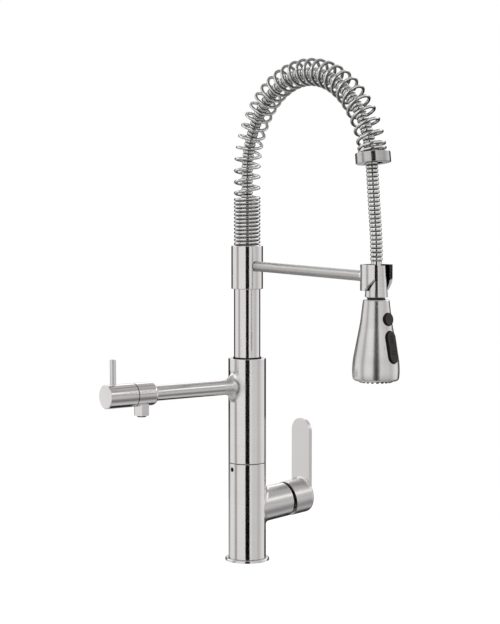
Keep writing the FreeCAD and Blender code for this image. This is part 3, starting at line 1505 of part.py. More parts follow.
def pill(name, width, length, bottom, height):
    """A bar along Z with a long round-ended outline whose length lies along Y."""
    offset = (length - width) / 2
    whole = united(name, [
        rod(f"{name}_low", width, height, y=-offset, z=bottom),
        rod(f"{name}_high", width, height, y=offset, z=bottom),
        block(f"{name}_middle", width, 2 * offset, height, x=-width / 2, y=-offset, z=bottom),
    ])
    whole.Refine = True
    return whole


def soft_key(name, bar, rise):
    """Round the outer edge of a key that stands out of the shell by the rise."""
    return bundle(name, [rounded(
        f"{name}_soft", bar, d.key_rounding, lambda edge: edge.BoundBox.ZMin > float(rise) / 2,
    )])


def keyed(name, piece):
    """Turn a piece about the axis of the spray head, to the side that its keys face."""
    return move(
        bundle(name, [piece]), x=-d.reach * sine(d.key_turn), y=d.reach * cosine(d.key_turn) - d.reach,
        axis=(0, 0, 1), angle=d.key_turn,
    )


def make_neck():
    """Hose ferrule, neck and seal between the hose and the spray head."""
    bore = d.neck_bore / 2
    way = d.liner_bore / 2
    keep(at_head(turned("hose_ferrule", [
        (way, d.neck_top - d.ferrule_length),
        (bore - d.seat_gap, d.neck_top - d.ferrule_length),
        (bore - d.seat_gap, d.neck_top),
        (d.ferrule_diameter / 2, d.neck_top),
        (d.ferrule_diameter / 2, ferrule_top),
        (way, ferrule_top),
    ])))
    spigot = d.shell_hole_diameter / 2 - d.seat_gap
    spigot_bottom = d.shell_top - d.shell_wall - d.nozzle_mat_thickness
    foot = d.neck_diameter / 2
    keep(at_head(turned("spray_neck", [
        (bore, spigot_bottom),
        (spigot, spigot_bottom),
        (spigot, d.neck_bottom),
        (foot - d.neck_chamfer, d.neck_bottom),
        (foot, d.neck_bottom + d.neck_chamfer),
        (d.neck_top_diameter / 2, d.neck_top),
        (bore, d.neck_top),
    ])))
    keep(at_head(tube("neck_seal", d.neck_seal_diameter, d.shell_hole_diameter, d.shell_top, d.neck_bottom)))
    return spigot_bottom


def make_shell(core_top):
    """Spray shell with its two keys, the waterway core and the nozzle face."""
    top = d.shell_top_diameter / 2
    waist_top = d.shell_waist_top_diameter / 2
    waist = d.shell_waist_diameter / 2
    flare = d.shell_flare_diameter / 2
    rim = d.shell_rim_diameter / 2
    shell = turned("shell_blank", [
        (d.shell_hole_diameter / 2, d.shell_top),
        (top - d.shell_top_chamfer, d.shell_top),
        (top, d.shell_top - d.shell_top_chamfer),
        (waist_top, d.shell_waist_top),
        (waist, d.shell_waist),
        (flare, d.shell_flare),
        (d.shell_diameter / 2, d.shell_widest),
        (rim, d.shell_rim),
        (face_radius, d.shell_rim),
        (face_radius, mat_top + d.nozzle_mat_thickness),
        (flare - d.shell_wall, d.shell_flare),
        (waist - d.shell_wall, d.shell_waist),
        (top - d.shell_wall, d.shell_top - d.shell_wall),
        (d.shell_hole_diameter / 2, d.shell_top - d.shell_wall),
    ], arcs={
        3: (d.shell_waist_rounding, -1),
        5: (d.shell_flare_rounding, 1),
        6: (d.shell_belly_rounding, 1),
    })
    dress(shell, "Fillet", [(rim, d.shell_rim)], d.shell_rim_rounding)
    at_head(shell)

    button_hole = on_button(bundle("button_hole", [rod(
        "button_hole_bar", d.button_diameter + 2 * d.free_gap, 2 * d.button_depth, z=-d.button_depth,
    )]))
    rocker_hole = on_rocker(pill(
        "rocker_hole", d.rocker_width + 2 * d.rocker_gap, d.rocker_length + 2 * d.rocker_gap,
        -d.rocker_depth - d.rocker_gap, 2 * d.rocker_depth + d.rocker_gap,
    ))
    pin_seat = on_rocker(bundle("rocker_pin_seat", [rod(
        "rocker_pin_seat_bar", d.rocker_pin_diameter + 2 * d.seat_gap, d.rocker_pin_length,
        x=-d.rocker_pin_length / 2, z=-d.rocker_pin_depth, **TO_RIGHT,
    )]))
    keep(cut("spray_shell", shell, [
        keyed("button_way", button_hole), keyed("rocker_way", rocker_hole), keyed("rocker_pin_way", pin_seat),
    ]))

    button = rod("button_bar", d.button_diameter, d.button_depth + d.button_rise, z=-d.button_depth)
    keep(keyed("pause_button", on_button(soft_key("button_cap", button, d.button_rise))))
    rocker_bar = pill(
        "rocker_bar", d.rocker_width, d.rocker_length, -d.rocker_depth, d.rocker_depth + d.rocker_rise,
    )
    rocker = soft_key("rocker_cap", rocker_bar, d.rocker_rise)
    pin_hole = rod("rocker_pin_hole", d.rocker_pin_diameter + 2 * d.running_gap, d.rocker_width,
                   x=-d.rocker_width / 2, z=-d.rocker_pin_depth, **TO_RIGHT)
    keep(keyed("mode_rocker", on_rocker(cut("rocker_drilled", rocker, [pin_hole]))))
    pin = rod("rocker_pin_bar", d.rocker_pin_diameter, d.rocker_pin_length, x=-d.rocker_pin_length / 2,
              z=-d.rocker_pin_depth, **TO_RIGHT)
    keep(keyed("rocker_pin", on_rocker(bundle("rocker_pin_stood", [pin]))))

    head_top = mat_top + d.core_head_height
    keep(at_head(turned("spray_core", [
        (d.neck_bore / 2, mat_top),
        (d.core_head_diameter / 2, mat_top),
        (d.core_head_diameter / 2, head_top),
        (d.core_diameter / 2, head_top),
        (d.core_diameter / 2, core_top),
        (d.neck_bore / 2, core_top),
    ])))


def nozzle_bars(name, diameter, bottom, top):
    """Round bars on the two circles of the spray face."""
    bars = []
    for circle, count in ((d.inner_nozzle_circle, d.inner_nozzles), (d.outer_nozzle_circle, d.outer_nozzles)):
        for index in range(int(count.number)):
            turn = 2 * math.pi * index / int(count.number)
            bars.append(rod(
                f"{name}_{len(bars)}", diameter, top - bottom,
                x=circle / 2 * round(math.cos(turn), 6), y=circle / 2 * round(math.sin(turn), 6), z=bottom,
            ))
    return bars


def make_spray_face():
    """Face plate, rubber nozzle mat and aerator at the bottom of the spray head."""
    aerator = d.aerator_diameter / 2
    plate = tube("face_blank", 2 * (face_radius - d.seat_gap), d.aerator_diameter + 2 * d.seat_gap,
                 d.shell_rim, face_top)
    hole_diameter = d.nozzle_diameter + 2 * d.seat_gap
    holes = united("nozzle_holes", nozzle_bars("nozzle_hole", hole_diameter, d.shell_rim, face_top))
    keep(at_head(cut("spray_face", plate, [holes])))
    mat = tube("mat_blank", d.core_head_diameter, d.aerator_diameter + 2 * d.seat_gap, face_top, mat_top)
    nozzles = nozzle_bars("nozzle", d.nozzle_diameter, d.nozzle_tip, mat_top)
    keep(at_head(united("spray_nozzles", [mat, *nozzles])))
    lip = aerator - d.nozzle_mat_thickness
    aerator_bottom = (d.nozzle_tip + d.shell_rim) / 2
    keep(at_head(turned("spray_aerator", [
        (0, d.shell_rim + d.nozzle_mat_thickness),
        (lip, d.shell_rim + d.nozzle_mat_thickness),
        (lip, aerator_bottom),
        (aerator, aerator_bottom),
        (aerator, mat_top),
        (0, mat_top),
    ])))


make_shell(make_neck())
make_spray_face()


def check_and_write():
    """Refuse a failed or empty piece, then write one file per node."""
    doc.recompute()
    for item in doc.Objects:
        if "Invalid" in item.State or "Error" in item.State:
            raise RuntimeError(f"{item.Label} failed: {item.State}")
    for node in nodes:
        if node.Shape.isNull() or not node.Shape.isValid() or not node.Shape.Solids:
            raise RuntimeError(f"{node.Label} has no valid solid")
    os.makedirs("parts", exist_ok=True)
    for node in nodes:
        node.Shape.exportStep(f"parts/{node.Label}.step")
        print(f"{node.Label}: {len(node.Shape.Solids)} solid(s), {node.Shape.Volume:.0f} mm3")


check_and_write()
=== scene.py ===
import math

import bpy
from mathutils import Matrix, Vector


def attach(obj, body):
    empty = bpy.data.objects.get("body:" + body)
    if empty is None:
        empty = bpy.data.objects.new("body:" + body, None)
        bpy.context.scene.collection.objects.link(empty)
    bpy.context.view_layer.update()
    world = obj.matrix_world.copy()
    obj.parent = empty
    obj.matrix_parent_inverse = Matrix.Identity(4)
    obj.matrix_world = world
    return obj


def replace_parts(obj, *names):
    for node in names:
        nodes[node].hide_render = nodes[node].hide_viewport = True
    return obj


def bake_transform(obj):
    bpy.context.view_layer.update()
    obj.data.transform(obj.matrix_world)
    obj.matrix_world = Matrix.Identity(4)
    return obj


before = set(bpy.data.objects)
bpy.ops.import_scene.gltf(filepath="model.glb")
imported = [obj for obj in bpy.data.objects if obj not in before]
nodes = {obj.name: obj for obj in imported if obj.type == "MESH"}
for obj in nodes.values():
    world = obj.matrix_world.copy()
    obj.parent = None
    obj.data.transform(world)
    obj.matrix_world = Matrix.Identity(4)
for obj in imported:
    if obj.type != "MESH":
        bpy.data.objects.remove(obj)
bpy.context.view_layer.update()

X_AXIS = Vector((1.0, 0.0, 0.0))
Y_AXIS = Vector((0.0, 1.0, 0.0))
Z_AXIS = Vector((0.0, 0.0, 1.0))

# Sizes of the arch, spring and hose, in metres, as in the part's source
SPRING_LINE = 0.4104
ARCH_RADIUS = 0.1001
ARCH_TURN = math.radians(173)
ARCH_END = SPRING_LINE + ARCH_RADIUS * ARCH_TURN
REACH = 0.205
WIRE_RADIUS = 0.0016
COIL_RADIUS = 0.0125
SPRING_START = 0.33165
SPRING_IN_CAP = 0.0015
SPRING_END = ARCH_END + SPRING_IN_CAP
DENSE_TURNS = 14.0
DENSE_PITCH = 0.00386
OPEN_TURNS = 27.0
END_TURNS = 3.5
END_PITCH = 0.0042
HOSE_ARCH_RADIUS = 0.0989
HOSE_TURN = math.radians(174.5)
HOSE_RADIUS = 0.00595
HOSE_VALLEY = 0.00505
HOSE_BORE = 0.0047
LINER_RADIUS = 0.00465
LINER_BORE = 0.00325
HOSE_START = 0.334
HOSE_JOINT = SPRING_LINE + HOSE_ARCH_RADIUS * HOSE_TURN + 2 * HOSE_RADIUS
HOSE_SLANT = 0.05457
HOSE_BEND = 0.279
FERRULE_TOP = 0.324
ARCH_RIBS = 99
LOWER_RIBS = 21

# Detail of the meshes of the spring and hose
WIRE_SIDES = 16
STEPS_PER_TURN = 44
WIRE_TIP_RADIUS = WIRE_RADIUS * 0.72
# Sine past which the wire's sides facing the next turns take painted shade
FLANK_SINE = 0.75
HOSE_SIDES = 36
RIB_STEPS = 12
# Rows of each rib in the groove between turns, which take painted shade
GROOVE_STEPS = (0, RIB_STEPS - 2, RIB_STEPS - 1)
BEAD_HALF_SHARE = 0.45
LINER_SIDES = 24
ARCH_LINER_STEPS = 96
LOWER_LINER_STEPS = 24

# Face of the rocker key on the spray head, in metres, as in the part's source
KEY_TURN = math.radians(9)
WAIST_DIAMETER = 0.0325
FLARE_DIAMETER = 0.0424
CONE_LENGTH = 0.0255
ROCKER_DROP = 0.0179
ROCKER_LEAN = math.atan((FLARE_DIAMETER - WAIST_DIAMETER) / 2 / CONE_LENGTH)
ROCKER_RADIUS = WAIST_DIAMETER / 2 + ROCKER_DROP * math.tan(ROCKER_LEAN)
ROCKER_HEIGHT = 0.2426
ROCKER_RISE = 0.0015

# Way out of the keys' faces, the way up along them and the level way across
level_out = X_AXIS * math.sin(KEY_TURN) - Y_AXIS * math.cos(KEY_TURN)
key_out = level_out * math.cos(ROCKER_LEAN) + Z_AXIS * math.sin(ROCKER_LEAN)
key_up = level_out * -math.sin(ROCKER_LEAN) + Z_AXIS * math.cos(ROCKER_LEAN)
key_across = X_AXIS * math.cos(KEY_TURN) + Y_AXIS * math.sin(KEY_TURN)

# Grip marks on the rocker, up from its middle, coloured darker than the key as painted shade; the profile
# is rise over the face and inset of the edge
GRIP_PROFILE = ((-0.0002, 0.0), (0.0001, 0.0), (0.0002, 0.00004), (0.00026, 0.00013))
GRIP_SIDES = 20
GRIP_RIBS = 3
GRIP_RIB_LENGTH = 0.0040
GRIP_RIB_WIDTH = 0.0010
GRIP_FIRST_RIB = 0.0051
GRIP_RIB_PITCH = 0.0026
GRIP_DOT_ROWS = 2
GRIP_DOTS_PER_ROW = 3
GRIP_DOT_WIDTH = 0.0011
GRIP_DOT_PITCH = 0.0021
GRIP_FIRST_ROW = -0.0042
GRIP_ROW_PITCH = 0.0024

# Camera fitted to the photograph: the level direction from the column to it, and its place and lens
TO_CAMERA = Vector((-0.6027, -0.7980, 0.0))
CAMERA_RIGHT = Vector((-TO_CAMERA.y, TO_CAMERA.x, 0.0))
CAMERA_DISTANCE = 1.7073
CAMERA_HEIGHT = 0.3756
CAMERA_DIP = math.radians(3.712)
CAMERA_SHIFT = 0.003
SENSOR_HEIGHT_MM = 36.0
LENS_MM = 93.19

# Studio: floor, black flag and lamps, in metres
FLOOR_RADIUS = 0.36
FLOOR_SIDES = 96
FLOOR_FADE_START = FLOOR_RADIUS * 0.45
FLOOR_FADE_END = FLOOR_RADIUS * 0.97
FLOOR_GLOW = 1.15
FLOOR_GLOW_SHARE = 0.82
FLAG_DISTANCE = 1.75
FLAG_LEFT = -0.35
FLAG_RIGHT = 0.47
FLAG_FOOT = -1.2
FLAG_TOP = 2.2
LAMP_TARGET = Vector((0.0, -0.08, 0.28))
LAMP_SIZE = 1.2

# Light of the studio from straight down to straight up, by the sine of the height above the horizon
STUDIO_LAYERS = (
    (-1.0, 0.5),
    (-0.85, 0.62),
    (-0.77, 0.72),
    (-0.7, 0.5),
    (-0.62, 0.36),
    (-0.52, 0.3),
    (-0.42, 0.44),
    (-0.32, 0.62),
    (-0.2, 0.9),
    (-0.05, 0.92),
    (0.1, 0.84),
    (0.28, 0.72),
    (0.37, 1.0),
    (0.43, 1.8),
    (0.5, 2.2),
    (0.56, 1.4),
    (0.63, 0.72),
    (0.72, 0.56),
    (1.0, 0.5),
)


def arch_frame(travel, radius, angle):
    """Point on a line round the arch, the way ahead and the way out of the bend, by the travel along it."""
    turn = min(max(travel - SPRING_LINE, 0.0) / radius, angle)
    ahead = Vector((0.0, -math.sin(turn), math.cos(turn)))
    side = Vector((0.0, math.cos(turn), math.sin(turn)))
    if travel <= SPRING_LINE:
        return Vector((0.0, 0.0, travel)), ahead, side
    middle = Vector((0.0, radius * (math.cos(turn) - 1), SPRING_LINE + radius * math.sin(turn)))
    return middle + ahead * max(travel - SPRING_LINE - radius * angle, 0.0), ahead, side


def hose_frame(travel):
    """The same along the hose, which leaves the arch on a slant and bends to hang over the spray head."""
    slant_end = HOSE_JOINT + HOSE_SLANT
    if travel <= slant_end:
        return arch_frame(travel, HOSE_ARCH_RADIUS, HOSE_TURN)
    start = arch_frame(slant_end, HOSE_ARCH_RADIUS, HOSE_TURN)[0]
    lean = math.pi - HOSE_TURN
    angle = lean * (1 - min((travel - slant_end) / (HOSE_BEND * lean), 1.0))
    ahead = Vector((0.0, -math.sin(angle), -math.cos(angle)))
    side = Vector((0.0, -math.cos(angle), math.sin(angle)))
    middle = start + side * HOSE_BEND
    middle.y += HOSE_BEND * math.cos(lean)
    middle.z -= HOSE_BEND * math.sin(lean)
    return middle + ahead * max(travel - slant_end - HOSE_BEND * lean, 0.0), ahead, side


def hose_end():
    """Travel along the hose to the ferrule on the spray head."""
    plumb = HOSE_JOINT + HOSE_SLANT + HOSE_BEND * (math.pi - HOSE_TURN)
    return plumb + hose_frame(plumb)[0].z - FERRULE_TOP


def add_object(name, data):
    """A new object in the scene for a mesh, a lamp or a camera."""
    thing = bpy.data.objects.new(name, data)
    bpy.context.scene.collection.objects.link(thing)
    return thing


def skin(name, rings, closed, materials, in_painted_shade=None):
    """A mesh from rings of points, with the last ring joined to the first if closed, else with flat ends.

    Faces picked out by row and column take the second material, a painted shade.
    """
    sides = len(rings[0])
    points = [point for ring in rings for point in ring]
    faces = []
    last = len(rings) if closed else len(rings) - 1
    for row in range(last):
        here = row * sides
        there = (row + 1) % len(rings) * sides
        for column in range(sides):
            after = (column + 1) % sides
            faces.append((here + column, here + after, there + after, there + column))
    if not closed:
        faces.append(tuple(reversed(range(sides))))
        faces.append(tuple(range(len(points) - sides, len(points))))
    mesh = bpy.data.meshes.new(name)
    mesh.from_pydata(points, [], faces)
    mesh.update()
    for material in materials:
        mesh.materials.append(material)
    for index, face in enumerate(mesh.polygons):
        face.use_smooth = len(face.vertices) == 4
        if in_painted_shade and in_painted_shade(index // sides, index % sides):
            face.material_index = 1
    piece = add_object(name, mesh)
    return piece


def circle(middle, first, second, radius, sides):
    """Ring of points round a middle, in the plane of two directions."""
    ring = []
    for index in range(sides):
        angle = 2 * math.pi * index / sides
        ring.append(middle + (first * math.cos(angle) + second * math.sin(angle)) * radius)
    return ring


def new_material(name):
    """A material with its node tree and its shader."""
    material = bpy.data.materials.new(name)
    material.use_nodes = True
    return material, material.node_tree, material.node_tree.nodes["Principled BSDF"]


def feed(tree, node, inputs):
    """Sets a node's inputs, by name or number, each to a fixed value or to another node's output."""
    for key, source in inputs.items():
        if isinstance(source, bpy.types.NodeSocket):
            tree.links.new(source, node.inputs[key])
        else:
            node.inputs[key].default_value = source


def add_node(tree, kind, inputs, **settings):
    """A shader node with its settings and inputs."""
    node = tree.nodes.new(kind)
    for key, value in settings.items():
        setattr(node, key, value)
    feed(tree, node, inputs)
    return node


def coordinates(tree, kind):
    """The place of a point, or the way its surface looks, in one kind of coordinates."""
    return add_node(tree, "ShaderNodeTexCoord", {}).outputs[kind]


def maths(tree, operation, *values):
    """Result of an operation on numbers or other nodes' outputs."""
    return add_node(tree, "ShaderNodeMath", dict(enumerate(values)), operation=operation).outputs["Value"]


def vector_maths(tree, operation, *values):
    """The same for vectors; a length or a dot product gives a number."""
    node = add_node(tree, "ShaderNodeVectorMath", dict(enumerate(values)), operation=operation)
    return node.outputs["Value" if operation in ("LENGTH", "DOT_PRODUCT") else "Vector"]


def along_axis(tree, vector, axis):
    """One of a vector's three numbers, by the letter of its axis."""
    return add_node(tree, "ShaderNodeSeparateXYZ", {0: vector}).outputs[axis]


def product(tree, factors):
    """All the factors multiplied."""
    total = factors[0]
    for factor in factors[1:]:
        total = maths(tree, "MULTIPLY", total, factor)
    return total


def ramp(tree, value, start, end, low=0.0, high=1.0, shape="SMOOTHSTEP"):
    """Goes from low to high while the value goes from start to end."""
    inputs = {"Value": value, "From Min": start, "From Max": end, "To Min": low, "To Max": high}
    return add_node(tree, "ShaderNodeMapRange", inputs, interpolation_type=shape).outputs["Result"]


def mix_numbers(tree, factor, first, second):
    """A number between two others, by a factor from 0 to 1."""
    inputs = {"Factor": factor, "A": first, "B": second}
    return add_node(tree, "ShaderNodeMix", inputs, data_type="FLOAT").outputs[0]


def mix_colours(tree, factor, first, second):
    """A colour between two others, by a factor from 0 to 1."""
    mix = add_node(tree, "ShaderNodeMix", {"Factor": factor}, data_type="RGBA")
    places = [index for index, socket in enumerate(mix.inputs) if socket.type == "RGBA"]
    feed(tree, mix, dict(zip(places, (first, second))))
    return next(socket for socket in mix.outputs if socket.type == "RGBA")


def opaque(colour):
    """A colour with its full alpha."""
    return (*colour, 1.0)


# Noise of the materials: its middle range, its detail and its number of soft clouds per metre
NOISE_ROUGHNESS = 0.55
NOISE_LOW = 0.3
NOISE_HIGH = 0.7
FINE_DETAIL = 3.0
CLOUD_DETAIL = 2.0
METAL_CLOUDS = (35.0, 35.0, 35.0)
MOULD_CLOUDS = (60.0, 60.0, 60.0)
NO_TURN = (0.0, 0.0, 0.0)

# Share of the fine lines in brushed metal, the depth of the reliefs in metres and the change of roughness
GRAIN_SHARE = 0.7
BRUSH_RELIEF = 0.0002
MOULD_RELIEF = 0.0001
MOULD_VARIES = 0.07


def noise(tree, scale, detail, turn=NO_TURN):
    """Noise in the part's own coordinates, with its own number of features per metre along each axis."""
    mapping = add_node(tree, "ShaderNodeMapping", {
        "Vector": coordinates(tree, "Object"),
        "Rotation": turn,
        "Scale": scale,
    })
    texture = add_node(tree, "ShaderNodeTexNoise", {
        "Vector": mapping.outputs["Vector"],
        "Scale": 1.0,
        "Detail": detail,
        "Roughness": NOISE_ROUGHNESS,
    })
    return texture.outputs["Fac"]


def spread(tree, value, low=0.0, high=1.0):
    """A noise's middle range stretched to low and high."""
    return ramp(tree, value, NOISE_LOW, NOISE_HIGH, low, high, "LINEAR")


def bump(tree, height, strength, distance):
    """Normals of a relief by its height."""
    inputs = {"Height": height, "Strength": strength, "Distance": distance}
    return add_node(tree, "ShaderNodeBump", inputs).outputs["Normal"]


def brushed(name, dark, light, rough, grain, turn=NO_TURN, depth=0.02, vary=0.05):
    """Brushed metal whose fine lines run along the axes with few features per metre."""
    material, tree, shader = new_material(name)
    fine = noise(tree, grain, FINE_DETAIL, turn)
    clouds = maths(tree, "MULTIPLY", noise(tree, METAL_CLOUDS, CLOUD_DETAIL), 1 - GRAIN_SHARE)
    mixed = maths(tree, "MULTIPLY_ADD", fine, GRAIN_SHARE, clouds)
    feed(tree, shader, {
        "Metallic": 1.0,
        "Base Color": mix_colours(tree, spread(tree, mixed), opaque(dark), opaque(light)),
        "Roughness": spread(tree, mixed, rough - vary, rough + vary),
        "Normal": bump(tree, fine, depth, BRUSH_RELIEF),
    })
    return material


def moulded(name, dark, light, rough, cell, depth=0.25, metallic=0.0, gloss=0.5):
    """Moulded, cast or ground surface with a fine even texture of that many features per metre."""
    material, tree, shader = new_material(name)
    fine = noise(tree, (cell, cell, cell), FINE_DETAIL)
    clouds = noise(tree, MOULD_CLOUDS, CLOUD_DETAIL)
    feed(tree, shader, {
        "Metallic": metallic,
        "Specular IOR Level": gloss,
        "Base Color": mix_colours(tree, spread(tree, clouds), opaque(dark), opaque(light)),
        "Roughness": spread(tree, fine, rough - MOULD_VARIES, rough + MOULD_VARIES),
        "Normal": bump(tree, fine, depth, MOULD_RELIEF),
    })
    return material


def matt(name, grey, rough):
    """Plain grey paper or cloth without gloss, with its node tree and its shader."""
    material, tree, shader = new_material(name)
    feed(tree, shader, {
        "Base Color": opaque((grey, grey, grey)),
        "Roughness": rough,
        "Specular IOR Level": 0.0,
    })
    return material, tree, shader


def change(material, name, mix, factor, new):
    """Takes a linked input of a material's shader to a new value, by a factor from 0 to 1."""
    tree = material.node_tree
    shader = tree.nodes["Principled BSDF"]
    old = shader.inputs[name].links[0].from_socket
    feed(tree, shader, {name: mix(tree, factor, old, new)})


# Root of a branch, by share of its radius and by metres beside the column's axis
ROOT_CORE_SHARE = 0.7
ROOT_START = 0.008
ROOT_FULL = 0.013

# Faces that look towards an axis, which take the cradle's painted shade, and the cosines where a key's face
# ends and its painted side shade begins
LOOKS_INWARD = -0.005
FACE_COSINE = 0.97
SIDE_COSINE = 0.75

# Factors that keep the level part of a vector, or its part across X
LEVEL = (1.0, 1.0, 0.0)
ACROSS_X = (0.0, 1.0, 1.0)


def soften_root(material, side, height, radius, rough):
    """Roughens the hand-polished root of a branch that leaves the column along X, to that side."""
    tree = material.node_tree
    place = coordinates(tree, "Object")
    offset = vector_maths(tree, "SUBTRACT", place, (0.0, 0.0, height))
    distance = vector_maths(tree, "LENGTH", vector_maths(tree, "MULTIPLY", offset, ACROSS_X))
    near = ramp(tree, distance, radius, radius * ROOT_CORE_SHARE)
    beside = ramp(tree, along_axis(tree, place, "X"), side * ROOT_START, side * ROOT_FULL)
    change(material, "Roughness", mix_numbers, product(tree, [near, beside]), rough)


def paint_inner_shade(material, axis, colour):
    """Paints shade: darkens the faces that look towards an upright axis, where the shadow inside the cradle
    falls.
    """
    tree = material.node_tree
    away = vector_maths(tree, "SUBTRACT", coordinates(tree, "Object"), axis)
    level = vector_maths(tree, "MULTIPLY", away, LEVEL)
    outward = vector_maths(tree, "DOT_PRODUCT", level, coordinates(tree, "Normal"))
    inside = maths(tree, "LESS_THAN", outward, LOOKS_INWARD)
    change(material, "Base Color", mix_colours, inside, opaque(colour))


def paint_key_side_shade(material, out, colour):
    """Paints shade: darkens the rounded edge and the sides of a key whose face looks along out, where they
    turn away from the light.
    """
    tree = material.node_tree
    facing = vector_maths(tree, "DOT_PRODUCT", coordinates(tree, "Normal"), out)
    turned_away = ramp(tree, facing, FACE_COSINE, SIDE_COSINE)
    change(material, "Base Color", mix_colours, turned_away, opaque(colour))


# Satin nickel, with its fine lines round one axis
NICKEL_DARK = (0.70, 0.675, 0.675)
NICKEL_LIGHT = (0.81, 0.782, 0.782)
AROUND_Z = (12.0, 12.0, 2600.0)
AROUND_X = (2600.0, 12.0, 12.0)
AROUND_Y = (12.0, 2600.0, 12.0)
LEVER_TURN = (0.0, math.radians(5), 0.0)
CAP_TURN = (math.radians(-7), 0.0, 0.0)


def turned_nickel(name):
    """Nickel of the turned pieces, smooth enough to mirror the studio's strips."""
    return brushed(name, NICKEL_DARK, NICKEL_LIGHT, rough=0.115, grain=AROUND_Z, depth=0.002, vary=0.02)


nickel = turned_nickel("satin_nickel_turned")
nickel_body = turned_nickel("satin_nickel_body")
soften_root(nickel_body, side=1, height=0.0565, radius=0.036, rough=0.27)
nickel_sleeve = turned_nickel("satin_nickel_sleeve")
soften_root(nickel_sleeve, side=-1, height=0.1866, radius=0.0165, rough=0.34)
nickel_head = brushed("satin_nickel_head", (0.745, 0.719, 0.719), (0.80, 0.772, 0.772),
                      rough=0.25, grain=AROUND_Z, depth=0.002, vary=0.015)
nickel_neck = brushed("satin_nickel_neck", NICKEL_DARK, NICKEL_LIGHT, rough=0.18, grain=AROUND_Z)
nickel_dock = brushed("satin_nickel_dock", NICKEL_DARK, NICKEL_LIGHT, rough=0.18, grain=AROUND_Z)
# Painted shade: the cradle's inner faces are darkened nearly to black for the shadow inside it
paint_inner_shade(nickel_dock, (0.0, -REACH, 0.0), (0.06, 0.058, 0.057))
nickel_arm = brushed("satin_nickel_arm", NICKEL_DARK, NICKEL_LIGHT, rough=0.14, grain=AROUND_X)
nickel_lever = brushed("satin_nickel_lever", NICKEL_DARK, NICKEL_LIGHT,
                       rough=0.32, grain=AROUND_X, turn=LEVER_TURN)
# Painted shade: a darker copy of the satin nickel for the spring's end cap
shaded_nickel_cap = brushed("satin_nickel_cap_painted_shade", (0.56, 0.54, 0.54), (0.66, 0.637, 0.637),
                     rough=0.15, grain=AROUND_Z, turn=CAP_TURN)

# Other metals
rod_steel = brushed("rod_steel", (0.50, 0.495, 0.49), (0.62, 0.61, 0.60), rough=0.42, grain=AROUND_Y)
brass = brushed("machined_brass", (0.66, 0.48, 0.22), (0.80, 0.62, 0.33), rough=0.3, grain=AROUND_Z)
wire_steel = moulded("spring_wire", (0.70, 0.69, 0.685), (0.82, 0.81, 0.80),
                     rough=0.15, cell=2200.0, depth=0.05, metallic=1.0)
# Painted shade: a dark copy of the wire for its sides that face the next turns, for the shadow in the gaps
wire_flank_shade = moulded("spring_wire_flank_painted_shade", (0.20, 0.197, 0.195), (0.29, 0.286, 0.284),
                     rough=0.24, cell=2200.0, depth=0.05, metallic=1.0)
hose_steel = moulded("hose_strip", (0.70, 0.70, 0.69), (0.82, 0.82, 0.81),
                     rough=0.16, cell=1800.0, depth=0.06, metallic=1.0)
# Painted shade: a near-black copy of the strip for the grooves between its turns, for the shadow there
hose_groove_painted_shade = moulded("hose_groove_painted_shade", (0.05, 0.05, 0.05), (0.10, 0.10, 0.10),
                      rough=0.4, cell=1800.0, depth=0.06, metallic=1.0)
black_steel = moulded("black_screw_steel", (0.02, 0.02, 0.02), (0.05, 0.05, 0.05),
                      rough=0.42, cell=2500.0, depth=0.15, metallic=1.0)
screw_steel = moulded("screw_steel", (0.28, 0.28, 0.28), (0.42, 0.42, 0.42),
                      rough=0.35, cell=2500.0, depth=0.15, metallic=1.0)

# Rubber, plastic and ceramic
rubber = moulded("black_rubber", (0.008, 0.008, 0.008), (0.02, 0.02, 0.02),
                 rough=0.6, cell=1500.0, depth=0.2, gloss=0.25)
nozzle_rubber = moulded("nozzle_rubber", (0.015, 0.015, 0.016), (0.035, 0.035, 0.036),
                        rough=0.5, cell=1500.0, depth=0.2)
black_plastic = moulded("black_plastic", (0.006, 0.006, 0.006), (0.016, 0.016, 0.016),
                        rough=0.5, cell=2600.0, gloss=0.3)
key_plastic = moulded("key_plastic", (0.030, 0.027, 0.025), (0.042, 0.039, 0.036),
                      rough=0.5, cell=2600.0, depth=0.2, gloss=0.15)
# Painted shade: the keys' rounded edges and sides darkened nearly to black
paint_key_side_shade(key_plastic, key_out, (0.003, 0.003, 0.003))
# Painted shade: the grip marks darker than the key's own plastic, for the shadow round them
grip_painted_shade_plastic = moulded("grip_painted_shade_plastic", (0.004, 0.004, 0.004), (0.010, 0.010, 0.010),
                       rough=0.5, cell=2600.0, depth=0.2, gloss=0.15)
face_plastic = moulded("face_plastic", (0.22, 0.22, 0.225), (0.30, 0.30, 0.305),
                       rough=0.4, cell=2600.0, depth=0.2)
pale_plastic = moulded("pale_plastic", (0.70, 0.70, 0.68), (0.82, 0.82, 0.80),
                       rough=0.45, cell=2000.0, depth=0.2)
valve_ceramic = moulded("valve_ceramic", (0.78, 0.77, 0.74), (0.88, 0.87, 0.85),
                        rough=0.25, cell=3000.0, depth=0.05)

